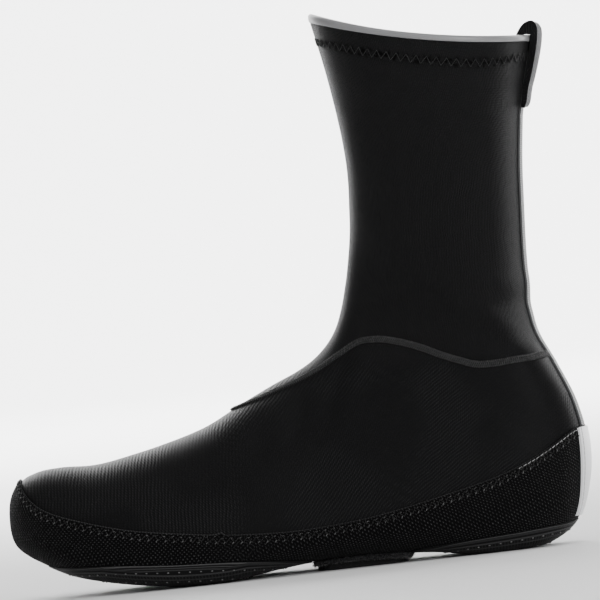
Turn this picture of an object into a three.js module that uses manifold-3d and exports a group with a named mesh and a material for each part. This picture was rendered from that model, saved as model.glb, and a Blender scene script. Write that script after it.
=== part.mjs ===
// A tall pull-on overshoe for winter riding, left foot: a neoprene sock with a woven rand,
// two rubber sole panels, an arch strap, a back tape, a reflective heel strip and a pull tab.
// Millimetres. X runs from toe to heel, Z is up, and the outer side of the foot is at -Y.
import * as THREE from "three";
import { mergeVertices } from "three/addons/utils/BufferGeometryUtils.js";
import Module from "manifold-3d";

const wasm = await Module();
wasm.setup();

// Driving dimensions of the sock's outer face
const LENGTH = 300; // toe tip to the back of the heel
const BALL_WIDTH = 104; // across the ball of the foot
const HEEL_WIDTH = 75; // across the heel
const SHAFT_WIDTH = 80; // across the shaft above the ankle
const SHAFT_DEPTH = 89; // front to back above the ankle
const COLLAR_WIDTH = 101; // across the flared collar
const ANKLE_HEIGHT = 112; // floor to the hollow above the heel
const COLLAR_HEIGHT = 281; // floor to the collar's front edge
const COLLAR_SAG = 4.3; // how far the collar's sides hang below its front and back
const ANKLE_ALONG = 0.79; // middle of the shaft, as a share of the length

// Thicknesses and clearances
const GAP = 0.3; // between pieces that touch
const SOCK_WALL = 2.0;
const RAND_WALL = 0.9;
const SOLE_WALL = 1.3;
const TAPE_WALL = 0.7;
const SEAM_RISE = 0.7;
const SOLE_PRESS = 0.4; // how much of the sole's wall the floor flattens
const BAND_WALL = 0.9;
const TAB_CROWN = 1.5; // how far the edges of the tab's outer face lie below its middle

// Widths and lengths of the trims
const SOLE_MARGIN = 14; // turned-under edge of the sock and rand
const SEAM_WIDTH = 3.4;
const BACK_TAPE_WIDTH = 20;
const TAPE_TOP = 1.84; // its upper end, under the tab
const REFLECTOR_WIDTH = 34;
const BAND_DEPTH = 13; // how far the collar band reaches down inside
const BAND_SHOW = 3.4; // how far it shows above the sock
const BAND_FRONT_SHOW = 1.3; // and how much more at the front
const TAB_WIDTH = 22;
const CLEAT_WINDOW = { x: 0.295, y: 2, length: 62, width: 40, corner: 13 };
const HEEL_WINDOW = { x: 0.868, y: -1, length: 32, width: 26, corner: 10 };
const LOOP_PANEL = { x: 0.5985, y: -3, length: 50.4, width: 50, corner: 4 };
const HOOK_STRAP = { x: 0.5985, y: 3.5, length: 47, width: 55, corner: 9 };
const HOOK_SEWN = { x: 0.5985, y: 27, length: 47, width: 8, corner: 1 };
const STRAP_LIFT = 0.4; // how far the strap hangs above the floor
const LOOP_WALL = 2.2;
const HOOK_WALL = 3.2;

// How finely the form is cut
const RINGS = 33;
const COLUMNS = 32;
const SEAM_STEPS = 46;

const TOE_X = -LENGTH / 2;
const SOLE_OFFSET = GAP + SOLE_WALL;
const along = (share) => TOE_X + share * LENGTH;
const reach = (share) => along(ANKLE_ALONG) + share * SHAFT_DEPTH;
const level = (share) =>
  share <= 1 ? share * ANKLE_HEIGHT : ANKLE_HEIGHT + (share - 1) * (COLLAR_HEIGHT - ANKLE_HEIGHT);
const tread = (rise) => SOLE_OFFSET - SOLE_PRESS + rise * ANKLE_HEIGHT;
const ball = (share) => (share * BALL_WIDTH) / 2;
const heel = (share) => (share * HEEL_WIDTH) / 2;
const shaft = (share) => (share * SHAFT_WIDTH) / 2;
const collar = (share) => (share * COLLAR_WIDTH) / 2;

function table(columns, ...rows) {
  return rows.map((row) => Object.fromEntries(columns.map((name, i) => [name, row[i]])));
}

// One row for each section. Its plane holds the top (or front) point and the bottom (or back) point, and
// turns from upright at the toe to level at the collar. belt is where it is widest, from bottom to top, and
// dome and base are how square its upper and lower halves are.
const SECTIONS = table(
  ["name", "topX", "topZ", "bottomX", "bottomZ", "outer", "inner", "belt", "dome", "base"],
  ["toe tip", along(0), level(0.375), along(0), level(0.375), ball(-0.14), ball(0.14), 0.5, 2.1, 2.2],
  ["toe cap", along(0.008), level(0.495), along(0.0065), level(0.262), ball(0.13), ball(0.4), 0.48, 2.1, 2.3],
  ["toe box", along(0.025), level(0.556), along(0.024), level(0.217), ball(0.34), ball(0.59), 0.44, 2.2, 2.6],
  ["toe top", along(0.052), level(0.587), along(0.052), level(0.173), ball(0.54), ball(0.72), 0.4, 2.3, 3.0],
  ["toes", along(0.092), level(0.598), along(0.095), tread(0.105), ball(0.72), ball(0.82), 0.36, 2.3, 3.5],
  ["toe joint", along(0.152), level(0.593), along(0.158), tread(0.057), ball(0.87), ball(0.91), 0.34, 2.3, 4.0],
  ["ball front", along(0.218), level(0.62), along(0.232), tread(0.022), ball(0.965), ball(0.98), 0.32, 2.2, 5.0],
  ["ball", along(0.285), level(0.66), along(0.303), tread(0), ball(1.0), ball(1.0), 0.31, 2.15, 5.4],
  ["ball back", along(0.352), level(0.713), along(0.365), tread(0), ball(1.0), ball(0.95), 0.31, 2.1, 5.4],
  ["waist front", along(0.415), level(0.797), along(0.432), tread(0.024), ball(0.955), ball(0.86), 0.33, 2.1, 5.4],
  ["waist", along(0.472), level(0.868), along(0.505), tread(0.045), ball(0.88), ball(0.77), 0.35, 2.1, 5.6],
  ["arch", along(0.518), level(0.92), along(0.578), tread(0.054), ball(0.815), ball(0.71), 0.37, 2.15, 5.8],
  ["instep", along(0.552), level(0.973), along(0.652), tread(0.046), heel(1.09), heel(0.94), 0.39, 2.2, 5.6],
  ["bend", along(0.577), level(1.024), along(0.725), tread(0.031), heel(1.06), heel(0.95), 0.42, 2.25, 5.5],
  ["throat", reach(-0.668), level(1.062), along(0.798), tread(0), heel(1.04), heel(0.98), 0.44, 2.3, 5.4],
  ["heel front", reach(-0.635), level(1.1), along(0.865), tread(0), heel(1.02), heel(0.99), 0.46, 2.3, 5.2],
  ["heel", reach(-0.61), level(1.139), along(0.918), tread(0.016), heel(1.0), heel(0.99), 0.47, 2.3, 4.4],
  ["heel edge", reach(-0.59), level(1.178), along(0.964), tread(0.09), heel(0.98), heel(0.98), 0.48, 2.3, 3.4],
  ["heel cup", reach(-0.57), level(1.219), along(0.993), level(0.286), heel(0.96), heel(0.96), 0.5, 2.25, 2.5],
  ["heel back", reach(-0.551), level(1.267), along(0.9995), level(0.46), heel(0.97), heel(0.97), 0.5, 2.2, 2.25],
  ["heel top", reach(-0.534), level(1.314), along(0.989), level(0.64), heel(0.99), heel(0.99), 0.5, 2.15, 2.15],
  ["tendon", reach(-0.52), level(1.367), along(0.9625), level(0.825), shaft(0.96), shaft(0.96), 0.5, 2.1, 2.1],
  ["ankle", reach(-0.511), level(1.427), reach(0.488), level(1.0), shaft(0.96), shaft(0.96), 0.5, 2.1, 2.1],
  ["shin", reach(-0.502), level(1.492), reach(0.47), level(1.11), shaft(0.965), shaft(0.965), 0.5, 2.1, 2.1],
  ["shaft low", reach(-0.5), level(1.557), reach(0.473), level(1.226), shaft(0.975), shaft(0.975), 0.5, 2.1, 2.1],
  ["shaft mid", reach(-0.51), level(1.645), reach(0.489), level(1.37), shaft(1.0), shaft(1.0), 0.5, 2.1, 2.1],
  ["shaft high", reach(-0.532), level(1.745), reach(0.512), level(1.53), shaft(1.06), shaft(1.06), 0.5, 2.1, 2.1],
  ["cuff", reach(-0.562), level(1.85), reach(0.556), level(1.69), collar(0.93), collar(0.93), 0.5, 2.1, 2.1],
  ["hem", reach(-0.592), level(1.935), reach(0.612), level(1.803), collar(0.98), collar(0.98), 0.5, 2.1, 2.1],
  ["collar", reach(-0.616), level(1.998), reach(0.642), level(1.868), collar(1.0), collar(1.0), 0.5, 2.1, 2.1],
  ["over collar", reach(-0.636), level(2.078), reach(0.668), level(1.948), collar(1.02), collar(1.02), 0.5, 2.1, 2.1],
);
const CHANNELS = ["topX", "topZ", "bottomX", "bottomZ", "outer", "inner", "belt", "dome", "base"];

// Where each section lies along the form: the mean distance that its top and bottom have come from the toe
const STATIONS = SECTIONS.reduce((stations, row, i) => {
  if (i === 0) return [0];
  const last = SECTIONS[i - 1];
  const top = Math.hypot(row.topX - last.topX, row.topZ - last.topZ);
  const bottom = Math.hypot(row.bottomX - last.bottomX, row.bottomZ - last.bottomZ);
  return [...stations, stations[i - 1] + (top + bottom) / 2];
}, []);
const rowOf = (name) => SECTIONS.findIndex((row) => row.name === name);
const stationOf = (name) => STATIONS[rowOf(name)];
const RIM = stationOf("collar");

// The station of a row number, which may lie between two rows
function stationAt(row) {
  const below = Math.min(Math.floor(row), STATIONS.length - 2);
  return THREE.MathUtils.lerp(STATIONS[below], STATIONS[below + 1], row - below);
}

// A smooth curve through the values of one channel
function curveThrough(values) {
  const last = values.length - 1;
  const rate = (i) => (values[i + 1] - values[i]) / (STATIONS[i + 1] - STATIONS[i]);
  const slope = values.map((_, i) => {
    if (i === 0) return 1.5 * rate(0) - 0.5 * rate(1);
    if (i === last) return rate(last - 1);
    const before = STATIONS[i] - STATIONS[i - 1];
    const after = STATIONS[i + 1] - STATIONS[i];
    return (rate(i - 1) * after + rate(i) * before) / (before + after);
  });
  return (station) => {
    let i = 0;
    while (i < last - 1 && station > STATIONS[i + 1]) i++;
    const span = STATIONS[i + 1] - STATIONS[i];
    const s = (station - STATIONS[i]) / span;
    const rise = values[i + 1] - values[i];
    const bend = (1 - s) * (slope[i] * span - rise) + s * (rise - slope[i + 1] * span);
    return values[i] + s * rise + s * (1 - s) * bend;
  };
}
const FORM = Object.fromEntries(CHANNELS.map((name) => [name, curveThrough(SECTIONS.map((row) => row[name]))]));

// The collar's sides hang lower than its front and back, and that fades out down the shaft
function sagAt(station, angle) {
  const start = stationOf("shaft mid");
  const share = THREE.MathUtils.smoothstep(station, start, RIM);
  return COLLAR_SAG * share * Math.sin(angle) ** 2;
}

// A point of the sock's outer face: angle 0 is its top or front line, a quarter turn its outer side, half its sole
function formPoint(station, angle) {
  const at = Object.fromEntries(CHANNELS.map((name) => [name, FORM[name](station)]));
  const upper = Math.cos(angle) >= 0;
  const power = 2 / (upper ? at.dome : at.base);
  const up = Math.abs(Math.cos(angle)) ** power;
  const out = Math.abs(Math.sin(angle)) ** power * Math.sign(Math.sin(angle));
  const endX = upper ? at.topX : at.bottomX;
  const endZ = upper ? at.topZ : at.bottomZ;
  const beltX = at.bottomX + (at.topX - at.bottomX) * at.belt;
  const beltZ = at.bottomZ + (at.topZ - at.bottomZ) * at.belt;
  return new THREE.Vector3(
    beltX + (endX - beltX) * up,
    (at.inner - at.outer) / 2 - out * ((at.inner + at.outer) / 2),
    beltZ + (endZ - beltZ) * up - sagAt(station, angle),
  );
}

// The outward normal of that face
function formNormal(station, angle) {
  const step = { station: 0.5, angle: 0.02 };
  if (station < step.station) return new THREE.Vector3(-1, 0, 0);
  const ahead = formPoint(station + step.station, angle).sub(formPoint(station - step.station, angle));
  const round = formPoint(station, angle + step.angle).sub(formPoint(station, angle - step.angle));
  return round.cross(ahead).normalize();
}

const formAt = (station, angle, offset) =>
  formPoint(station, angle).addScaledVector(formNormal(station, angle), offset);

// Solids

function solid(geometry) {
  const bare = geometry.index ? geometry.toNonIndexed() : geometry.clone();
  bare.deleteAttribute("normal");
  bare.deleteAttribute("uv");
  const merged = mergeVertices(bare, 1e-4);
  return new wasm.Manifold(
    new wasm.Mesh({
      numProp: 3,
      vertProperties: merged.attributes.position.array,
      triVerts: new Uint32Array(merged.index.array),
    }),
  );
}

function geometryOf(manifold) {
  const { vertProperties, triVerts } = manifold.getMesh();
  const geometry = new THREE.BufferGeometry();
  geometry.setAttribute("position", new THREE.BufferAttribute(new Float32Array(vertProperties), 3));
  geometry.setIndex(new THREE.BufferAttribute(new Uint32Array(triVerts), 1));
  geometry.computeVertexNormals();
  return geometry;
}

// The closed skin between two offsets of the form, from the toe to the collar's edge
function skin(inside, outside) {
  const stations = Array.from({ length: RINGS }, (_, i) => stationAt(((i + 1) / RINGS) * rowOf("collar")));
  const points = [];
  const faces = [];
  const addSide = (offset) => {
    const tip = points.push(formAt(0, 0, offset)) - 1;
    for (const station of stations) {
      for (let column = 0; column < COLUMNS; column++) {
        points.push(formAt(station, (column / COLUMNS) * 2 * Math.PI, offset));
      }
    }
    return tip;
  };
  const outer = addSide(outside);
  const inner = addSide(inside);
  const at = (side, ring, column) => side + 1 + ring * COLUMNS + (column % COLUMNS);
  const quad = (a, b, c, d) => faces.push(a, b, c, a, c, d);
  for (let column = 0; column < COLUMNS; column++) {
    faces.push(outer, at(outer, 0, column + 1), at(outer, 0, column));
    faces.push(inner, at(inner, 0, column), at(inner, 0, column + 1));
    for (let ring = 0; ring < RINGS - 1; ring++) {
      quad(at(outer, ring, column), at(outer, ring, column + 1), at(outer, ring + 1, column + 1),
        at(outer, ring + 1, column));
      quad(at(inner, ring, column), at(inner, ring + 1, column), at(inner, ring + 1, column + 1),
        at(inner, ring, column + 1));
    }
    quad(at(outer, RINGS - 1, column), at(outer, RINGS - 1, column + 1), at(inner, RINGS - 1, column + 1),
      at(inner, RINGS - 1, column));
  }
  const geometry = new THREE.BufferGeometry().setFromPoints(points);
  geometry.setIndex(faces);
  return solid(geometry);
}

// A side view outline, given as [x, z] points, pulled through the shoe from y0 to y1
function prism(outline, y0 = -BALL_WIDTH, y1 = BALL_WIDTH) {
  const shape = new THREE.Shape(outline.map(([x, z]) => new THREE.Vector2(x, z)));
  const geometry = new THREE.ExtrudeGeometry(shape, { depth: y1 - y0, bevelEnabled: false });
  geometry.rotateX(Math.PI / 2).translate(0, y1, 0);
  return solid(geometry);
}

// A plan view shape, pulled up through the sole
function post(shape) {
  const reachUp = ANKLE_HEIGHT / 5;
  const geometry = new THREE.ExtrudeGeometry(shape, { depth: 2 * reachUp, bevelEnabled: false, curveSegments: 6 });
  geometry.translate(0, 0, -reachUp);
  return solid(geometry);
}

function windowPost({ x, y, length, width, corner }) {
  const shape = new THREE.Shape();
  const [left, right] = [along(x) - length / 2, along(x) + length / 2];
  const [low, high] = [y - width / 2, y + width / 2];
  shape.moveTo(left + corner, low).lineTo(right - corner, low);
  shape.absarc(right - corner, low + corner, corner, -Math.PI / 2, 0);
  shape.lineTo(right, high - corner);
  shape.absarc(right - corner, high - corner, corner, 0, Math.PI / 2);
  shape.lineTo(left + corner, high);
  shape.absarc(left + corner, high - corner, corner, Math.PI / 2, Math.PI);
  shape.lineTo(left, low + corner);
  shape.absarc(left + corner, low + corner, corner, Math.PI, Math.PI * 1.5);
  return post(shape);
}

// The open underside of the sock: its plan outline, drawn in by the turned-under margin
function undersidePost() {
  const steps = 26;
  const share = (i) => (1 - Math.cos((Math.PI * i) / (steps - 1))) / 2; // closer together at both ends
  const stations = Array.from({ length: steps }, (_, i) =>
    THREE.MathUtils.lerp(stationOf("toes"), stationOf("heel"), share(i)));
  const ends = [FORM.bottomX(stations[0]), FORM.bottomX(stations[steps - 1])];
  const middle = (ends[0] + ends[1]) / 2;
  const half = (ends[1] - ends[0]) / 2;
  const edge = (station, width) => {
    const x = FORM.bottomX(station);
    const roundedEnd = Math.sqrt(Math.max(0, 1 - ((x - middle) / half) ** 12));
    return [x, (width - SOLE_MARGIN) * roundedEnd];
  };
  const outer = stations.map((s) => edge(s, FORM.outer(s))).map(([x, y]) => new THREE.Vector2(x, -y));
  const inner = stations.map((s) => edge(s, FORM.inner(s))).map(([x, y]) => new THREE.Vector2(x, y));
  return post(new THREE.Shape([...outer, ...inner.slice(1, -1).reverse()]));
}

// Side view lines: where one panel ends and the next begins
const smooth = (line, steps) =>
  new THREE.SplineCurve(line.map(([x, z]) => new THREE.Vector2(along(x), level(z)))).getPoints(steps)
    .map((point) => point.toArray());
const RAND_TOP = smooth([
  [0.0195, 0.62], [0.0225, 0.554], [0.0332, 0.496], [0.0522, 0.441], [0.0805, 0.396], [0.1365, 0.343],
  [0.2085, 0.29], [0.2778, 0.257], [0.3595, 0.227], [0.4335, 0.209], [0.5025, 0.203], [0.5752, 0.213],
  [0.6308, 0.229], [0.6865, 0.254], [0.7298, 0.277], [0.8082, 0.322], [0.8582, 0.359], [0.9088, 0.4125],
  [0.9478, 0.469], [0.974, 0.512], [0.992, 0.528], [1.02, 0.534],
], 34);
const FOREFOOT_EDGE = smooth([
  [-0.02, 0.165], [0.049, 0.155], [0.1105, 0.146], [0.1845, 0.136], [0.28, 0.113], [0.379, 0.098], [0.4445, 0.083],
  [0.49, 0.067], [0.511, 0.056],
], 12);
const HEEL_SOLE_EDGE = smooth([
  [0.686, 0.052], [0.749, 0.069], [0.8225, 0.08], [0.871, 0.0865], [0.92, 0.096], [0.967, 0.107], [1.02, 0.122],
], 10);
const STRAP_TOP = smooth([[0.505, 0.045], [0.515, 0.046], [0.567, 0.052], [0.618, 0.0545], [0.69, 0.0445]], 6);

// The ankle seam on one side, from its rounded tip on the instep to the back tape: row, and degrees from the
// top line
const ANKLE_SEAM = [
  [8.8, 0], [8.92, 8], [9.4, 15], [10.1, 20], [11.3, 23.5], [12.8, 29], [14.3, 35.5], [15.5, 43], [16.65, 53],
  [17.26, 61], [17.78, 71], [18.14, 80], [18.52, 88], [18.93, 95], [19.5, 105], [20.2, 120], [20.94, 145],
  [21.23, 164],
];

const FAR = LENGTH; // past every face of the shoe
const lowered = (line, by) => line.map(([x, z]) => [x, z - by]);

// Pieces

function upper() {
  return skin(-SOCK_WALL, 0).subtract(undersidePost());
}

function rand() {
  const lowerEdge = [
    ...FOREFOOT_EDGE, [FOREFOOT_EDGE.at(-1)[0], -FAR],
    [HEEL_SOLE_EDGE[0][0], -FAR], ...HEEL_SOLE_EDGE,
  ];
  const region = prism([...lowerEdge, ...[...RAND_TOP].reverse(), [FOREFOOT_EDGE[0][0], RAND_TOP[0][1]]]);
  return skin(GAP, GAP + RAND_WALL).intersect(region).subtract(undersidePost());
}

function sole(edge, window) {
  const [first, last] = [edge[0], edge.at(-1)];
  const region = prism([...lowered(edge, GAP), [last[0], 0], [first[0], 0]]);
  return skin(GAP, SOLE_OFFSET).intersect(region).subtract(windowPost(window));
}

const forefootSole = () => sole(FOREFOOT_EDGE, CLEAT_WINDOW);
const heelSole = () => sole(HEEL_SOLE_EDGE, HEEL_WINDOW);

// The arch strap has two layers that press together: a loop panel sewn along the outer side of the arch, and a hook
// strap below it, sewn along the inner side. Neither reaches the floor.
const LOOP_INSIDE = GAP + RAND_WALL + GAP;
const HOOK_INSIDE = LOOP_INSIDE + LOOP_WALL + GAP;

function strapLoop() {
  const belowEdge = prism([...STRAP_TOP, [STRAP_TOP.at(-1)[0], 0], [STRAP_TOP[0][0], 0]]);
  return skin(LOOP_INSIDE, LOOP_INSIDE + LOOP_WALL).intersect(belowEdge).intersect(windowPost(LOOP_PANEL));
}

function strapHook() {
  const offFloor = prism([[-FAR, STRAP_LIFT], [FAR, STRAP_LIFT], [FAR, FAR], [-FAR, FAR]]);
  const band = skin(HOOK_INSIDE, HOOK_INSIDE + HOOK_WALL).intersect(windowPost(HOOK_STRAP));
  const sewn = skin(LOOP_INSIDE, HOOK_INSIDE + HOOK_WALL).intersect(windowPost(HOOK_SEWN));
  return band.add(sewn).intersect(offFloor);
}

// A strip laid along a path on the form. Each profile point is a distance to the side and an offset.
function strip(path, profile) {
  const last = path.length - 1;
  const rings = path.map(([row, angle], i) => {
    const [before, after] = [path[Math.max(0, i - 1)], path[Math.min(last, i + 1)]];
    const forward = formPoint(stationAt(after[0]), after[1]).sub(formPoint(stationAt(before[0]), before[1]));
    const normal = formNormal(stationAt(row), angle);
    const aside = normal.clone().cross(forward).normalize();
    return profile.map(([side, offset]) =>
      formPoint(stationAt(row), angle).addScaledVector(aside, side).addScaledVector(normal, offset));
  });
  const count = profile.length;
  const faces = [];
  for (let ring = 0; ring < last; ring++) {
    for (let i = 0; i < count; i++) {
      const [a, b] = [ring * count + i, ring * count + ((i + 1) % count)];
      faces.push(a, b, b + count, a, b + count, a + count);
    }
  }
  for (let i = 1; i < count - 1; i++) {
    faces.push(0, i + 1, i, last * count, last * count + i, last * count + i + 1);
  }
  const geometry = new THREE.BufferGeometry().setFromPoints(rings.flat());
  geometry.setIndex(faces);
  return solid(geometry);
}

function ankleSeam() {
  const mirrored = ANKLE_SEAM.slice(1).reverse().map(([row, angle]) => [row, -angle]);
  const knots = [...mirrored, ...ANKLE_SEAM].map(([row, angle]) =>
    new THREE.Vector2(row, THREE.MathUtils.degToRad(angle)));
  const path = new THREE.SplineCurve(knots).getSpacedPoints(SEAM_STEPS).map((point) => point.toArray());
  const half = SEAM_WIDTH / 2;
  const top = GAP + SEAM_RISE;
  const shoulder = GAP + 0.6 * SEAM_RISE;
  const raised = strip(path, [[-half, 0], [half, 0], [0.88 * half, shoulder], [0.5 * half, top], [-0.5 * half, top],
    [-0.88 * half, shoulder]]);
  return raised.subtract(skin(-SOCK_WALL, GAP));
}

// The part of the rand's top line that is behind the ankle
const RAND_BACK = RAND_TOP.slice(-8);

function backTape() {
  const top = level(TAPE_TOP);
  const region = prism([...lowered(RAND_BACK, -GAP), [RAND_BACK.at(-1)[0], top], [RAND_BACK[0][0], top]],
    -BACK_TAPE_WIDTH / 2, BACK_TAPE_WIDTH / 2);
  return skin(GAP, GAP + TAPE_WALL).intersect(region);
}

function heelReflector() {
  const low = HEEL_SOLE_EDGE.at(-1)[1] + GAP;
  const region = prism([[RAND_BACK[0][0], low], [RAND_BACK.at(-1)[0], low], ...lowered(RAND_BACK, GAP).reverse()],
    -REFLECTOR_WIDTH / 2, REFLECTOR_WIDTH / 2);
  const inside = GAP + RAND_WALL + GAP;
  return skin(inside, inside + TAPE_WALL).intersect(region);
}

// Moves each point of a geometry to where place(x, y, z) says
function wrap(geometry, place) {
  const position = geometry.attributes.position;
  for (let i = 0; i < position.count; i++) {
    const to = place(position.getX(i), position.getY(i), position.getZ(i));
    position.setXYZ(i, to.x, to.y, to.z);
  }
  return solid(geometry);
}

// The collar band: a rubber bead that shows above the sock's edge, on a tape that goes down inside it
function collarBand() {
  const spine = BALL_WIDTH; // any radius larger than the profile
  const inner = -SOCK_WALL - GAP;
  const profile = [
    [0.1 * SOCK_WALL, GAP], [0.25 * SOCK_WALL, 0.35 * BAND_SHOW], [0.15 * SOCK_WALL, 0.75 * BAND_SHOW],
    [-0.3 * SOCK_WALL, BAND_SHOW], [-0.95 * SOCK_WALL, BAND_SHOW],
    [inner - BAND_WALL, 0.7 * BAND_SHOW], [inner - BAND_WALL, -BAND_DEPTH], [inner, -BAND_DEPTH], [inner, GAP],
    [0.1 * SOCK_WALL, GAP],
  ];
  const points = profile.map(([offset, height]) => new THREE.Vector2(spine + offset, height));
  const ring = new THREE.LatheGeometry(points, COLUMNS);
  return wrap(ring, (x, y, z) => {
    const angle = Math.atan2(x, z);
    const front = Math.max(0, Math.cos(angle)) ** 2;
    const stretch = y > GAP ? 1 + (BAND_FRONT_SHOW / BAND_SHOW) * front : 1;
    return formAt(RIM + y * stretch, angle, Math.hypot(x, z) - spine);
  });
}

// The pull tab: a padded fold of webbing that hugs the collar's edge, from inside the sock down over the back tape.
// Each point is a height above the collar's edge and an offset from the sock's outer face.
const TAB_OUTSIDE = [
  [-14, -6.5], [-5, -6.5], [1.5, -6.4], [5.5, -5.1], [8.6, -3], [10.2, -0.5], [10.3, 1.9], [9, 4], [6.5, 5.3],
  [2, 5.7], [-5, 5.6], [-12, 5.2], [-20, 4.6], [-26, 4.2], [-29, 3.8], [-30.5, 2.9],
];
const TAB_INSIDE = [
  [-30.5, 1.3], [-20, 1.3], [-10, 1.3], [3.4, 1.3], [4.3, 0.4], [4.4, -2.4], [3.6, -3.6], [-4, -3.7], [-14, -3.7],
];

function pullTab() {
  const outline = [...TAB_OUTSIDE, ...TAB_INSIDE].map(([height, offset]) => new THREE.Vector2(height, offset));
  const strip = new THREE.ExtrudeGeometry(new THREE.Shape(outline),
    { depth: TAB_WIDTH, steps: 6, bevelEnabled: false });
  const [face, back] = [Math.max(...TAB_OUTSIDE.map((point) => point[1])), TAB_INSIDE[0][1]];
  return wrap(strip, (height, offset, across) => {
    const station = RIM + height;
    const half = (FORM.outer(station) + FORM.inner(station)) / 2;
    const y = across - TAB_WIDTH / 2;
    const turn = Math.asin((Math.abs(y) / half) ** (FORM.base(station) / 2)) * Math.sign(y);
    const share = Math.max(0, offset - back) / (face - back);
    const crown = TAB_CROWN * share * ((2 * y) / TAB_WIDTH) ** 2;
    return formAt(station, Math.PI + turn, offset - crown);
  });
}

// The assembly

const PIECES = [
  ["upper", upper, { color: 0x0d0d0e, roughness: 0.75, metalness: 0 }],
  ["rand", rand, { color: 0x0a0a0a, roughness: 0.9, metalness: 0 }],
  ["forefoot_sole", forefootSole, { color: 0x151515, roughness: 0.6, metalness: 0 }],
  ["heel_sole", heelSole, { color: 0x151515, roughness: 0.6, metalness: 0 }],
  ["strap_loop", strapLoop, { color: 0x0c0c0c, roughness: 1, metalness: 0 }],
  ["strap_hook", strapHook, { color: 0x0e0e0e, roughness: 0.8, metalness: 0 }],
  ["ankle_seam", ankleSeam, { color: 0x101010, roughness: 0.85, metalness: 0 }],
  ["back_tape", backTape, { color: 0x4a4a4a, roughness: 0.8, metalness: 0 }],
  ["heel_reflector", heelReflector, { color: 0xd8d8d8, roughness: 0.35, metalness: 0.4 }],
  ["collar_band", collarBand, { color: 0x6e6e6e, roughness: 0.4, metalness: 0 }],
  ["pull_tab", pullTab, { color: 0x2c2c2c, roughness: 0.85, metalness: 0 }],
];

const overshoe = new THREE.Group();
for (const [name, make, finish] of PIECES) {
  const mesh = new THREE.Mesh(geometryOf(make()), new THREE.MeshStandardMaterial(finish));
  mesh.name = name;
  overshoe.add(mesh);
}

// The origin is on the floor, under the middle of the shoe's box
const box = new THREE.Box3().setFromObject(overshoe);
const middle = box.getCenter(new THREE.Vector3());
overshoe.position.set(-middle.x, -middle.y, -box.min.z);

export default overshoe;
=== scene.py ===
# %% [markdown]
# # A tall winter overshoe, dressed in Blender
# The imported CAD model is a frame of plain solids. This lesson dresses each of them with the cloth, rubber, thread
# and webbing of the real thing, in the same place and at the same size.

# %% Load the frame
import math
import bmesh
import bpy
import numpy as np
from mathutils import Matrix, Vector


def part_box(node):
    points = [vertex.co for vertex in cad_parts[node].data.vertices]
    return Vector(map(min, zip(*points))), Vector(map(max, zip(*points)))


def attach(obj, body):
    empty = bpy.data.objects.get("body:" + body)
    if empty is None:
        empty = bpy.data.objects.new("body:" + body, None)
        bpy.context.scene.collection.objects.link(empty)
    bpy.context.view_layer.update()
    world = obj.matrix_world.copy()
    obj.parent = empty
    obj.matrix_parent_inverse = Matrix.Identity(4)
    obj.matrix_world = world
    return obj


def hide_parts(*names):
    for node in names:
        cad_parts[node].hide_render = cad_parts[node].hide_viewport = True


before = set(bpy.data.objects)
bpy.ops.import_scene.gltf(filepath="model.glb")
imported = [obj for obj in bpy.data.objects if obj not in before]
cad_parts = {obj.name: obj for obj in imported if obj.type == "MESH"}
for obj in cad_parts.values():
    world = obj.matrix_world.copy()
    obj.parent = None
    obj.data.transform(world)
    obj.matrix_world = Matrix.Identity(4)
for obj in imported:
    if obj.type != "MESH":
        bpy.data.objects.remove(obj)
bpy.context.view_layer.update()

print("CAD nodes:", sorted(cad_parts))

# %% [markdown]
# ## Camera
# The photograph is a product shot from far away with a long lens, level with the shoe, and turned a little so that
# the heel rides high. The camera stands that far off and is rolled by the same angle.

# %% Place the camera
PHOTO_WIDTH = 0.3097  # metres across the photograph at the shoe
CAMERA = {"azimuth": 3.0, "elevation": 0.6, "roll": 6.34, "distance": 4.5}
TARGET = np.array([0.0109, 0.0, 0.1395])


def place_camera(azimuth, elevation, roll, distance):
    turn, rise, tip = (math.radians(v) for v in (azimuth, elevation, roll))
    back = np.array([math.sin(turn) * math.cos(rise), -math.cos(turn) * math.cos(rise), math.sin(rise)])
    level_right = np.array([math.cos(turn), math.sin(turn), 0.0])
    level_up = np.cross(back, level_right)
    right = level_right * math.cos(tip) - level_up * math.sin(tip)
    up = level_right * math.sin(tip) + level_up * math.cos(tip)
    camera = bpy.data.objects.new("camera", bpy.data.cameras.new("camera"))
    bpy.context.scene.collection.objects.link(camera)
    camera.data.lens = camera.data.sensor_width * distance / PHOTO_WIDTH
    camera.data.clip_end = 50.0
    place = TARGET + back * distance
    rows = [[right[i], up[i], back[i], place[i]] for i in range(3)] + [[0, 0, 0, 1]]
    camera.matrix_world = Matrix(rows)
    bpy.context.scene.camera = camera
    return camera


camera = place_camera(**CAMERA)
print("lens in mm:", round(camera.data.lens))

# %% [markdown]
# ## The form
# A sock has no flat faces, so it is drawn as a fan of sections that starts upright at the toe and ends level at the
# collar. Each section is a rounded box given by its top and bottom points and its two half widths. Every layer of
# the shoe lies on this one form at its own offset, so all the layers fit each other. Millimetres, as in the CAD.

# %% Sizes and sections
LENGTH, BALL_WIDTH, HEEL_WIDTH, SHAFT_WIDTH, SHAFT_DEPTH, COLLAR_WIDTH = 300, 104, 75, 80, 89, 101
ANKLE_HEIGHT, COLLAR_HEIGHT, COLLAR_SAG, ANKLE_ALONG = 112, 281, 4.3, 0.79
GAP, SOCK_WALL, RAND_WALL, SOLE_WALL, TAPE_WALL, SOLE_PRESS = 0.3, 2.0, 0.9, 1.3, 0.7, 0.4
LOOP_WALL, HOOK_WALL, STRAP_LIFT = 2.2, 3.2, 0.4
BACK_TAPE_WIDTH, REFLECTOR_WIDTH, TAPE_TOP, SOLE_MARGIN = 20, 34, 1.84, 14
BAND_DEPTH, BAND_SHOW, BAND_FRONT_SHOW = 13.0, 3.4, 1.3
CLEARANCE = 0.1  # from a dressed piece to the one under it
SOLE_OFFSET = GAP + SOLE_WALL


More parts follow.
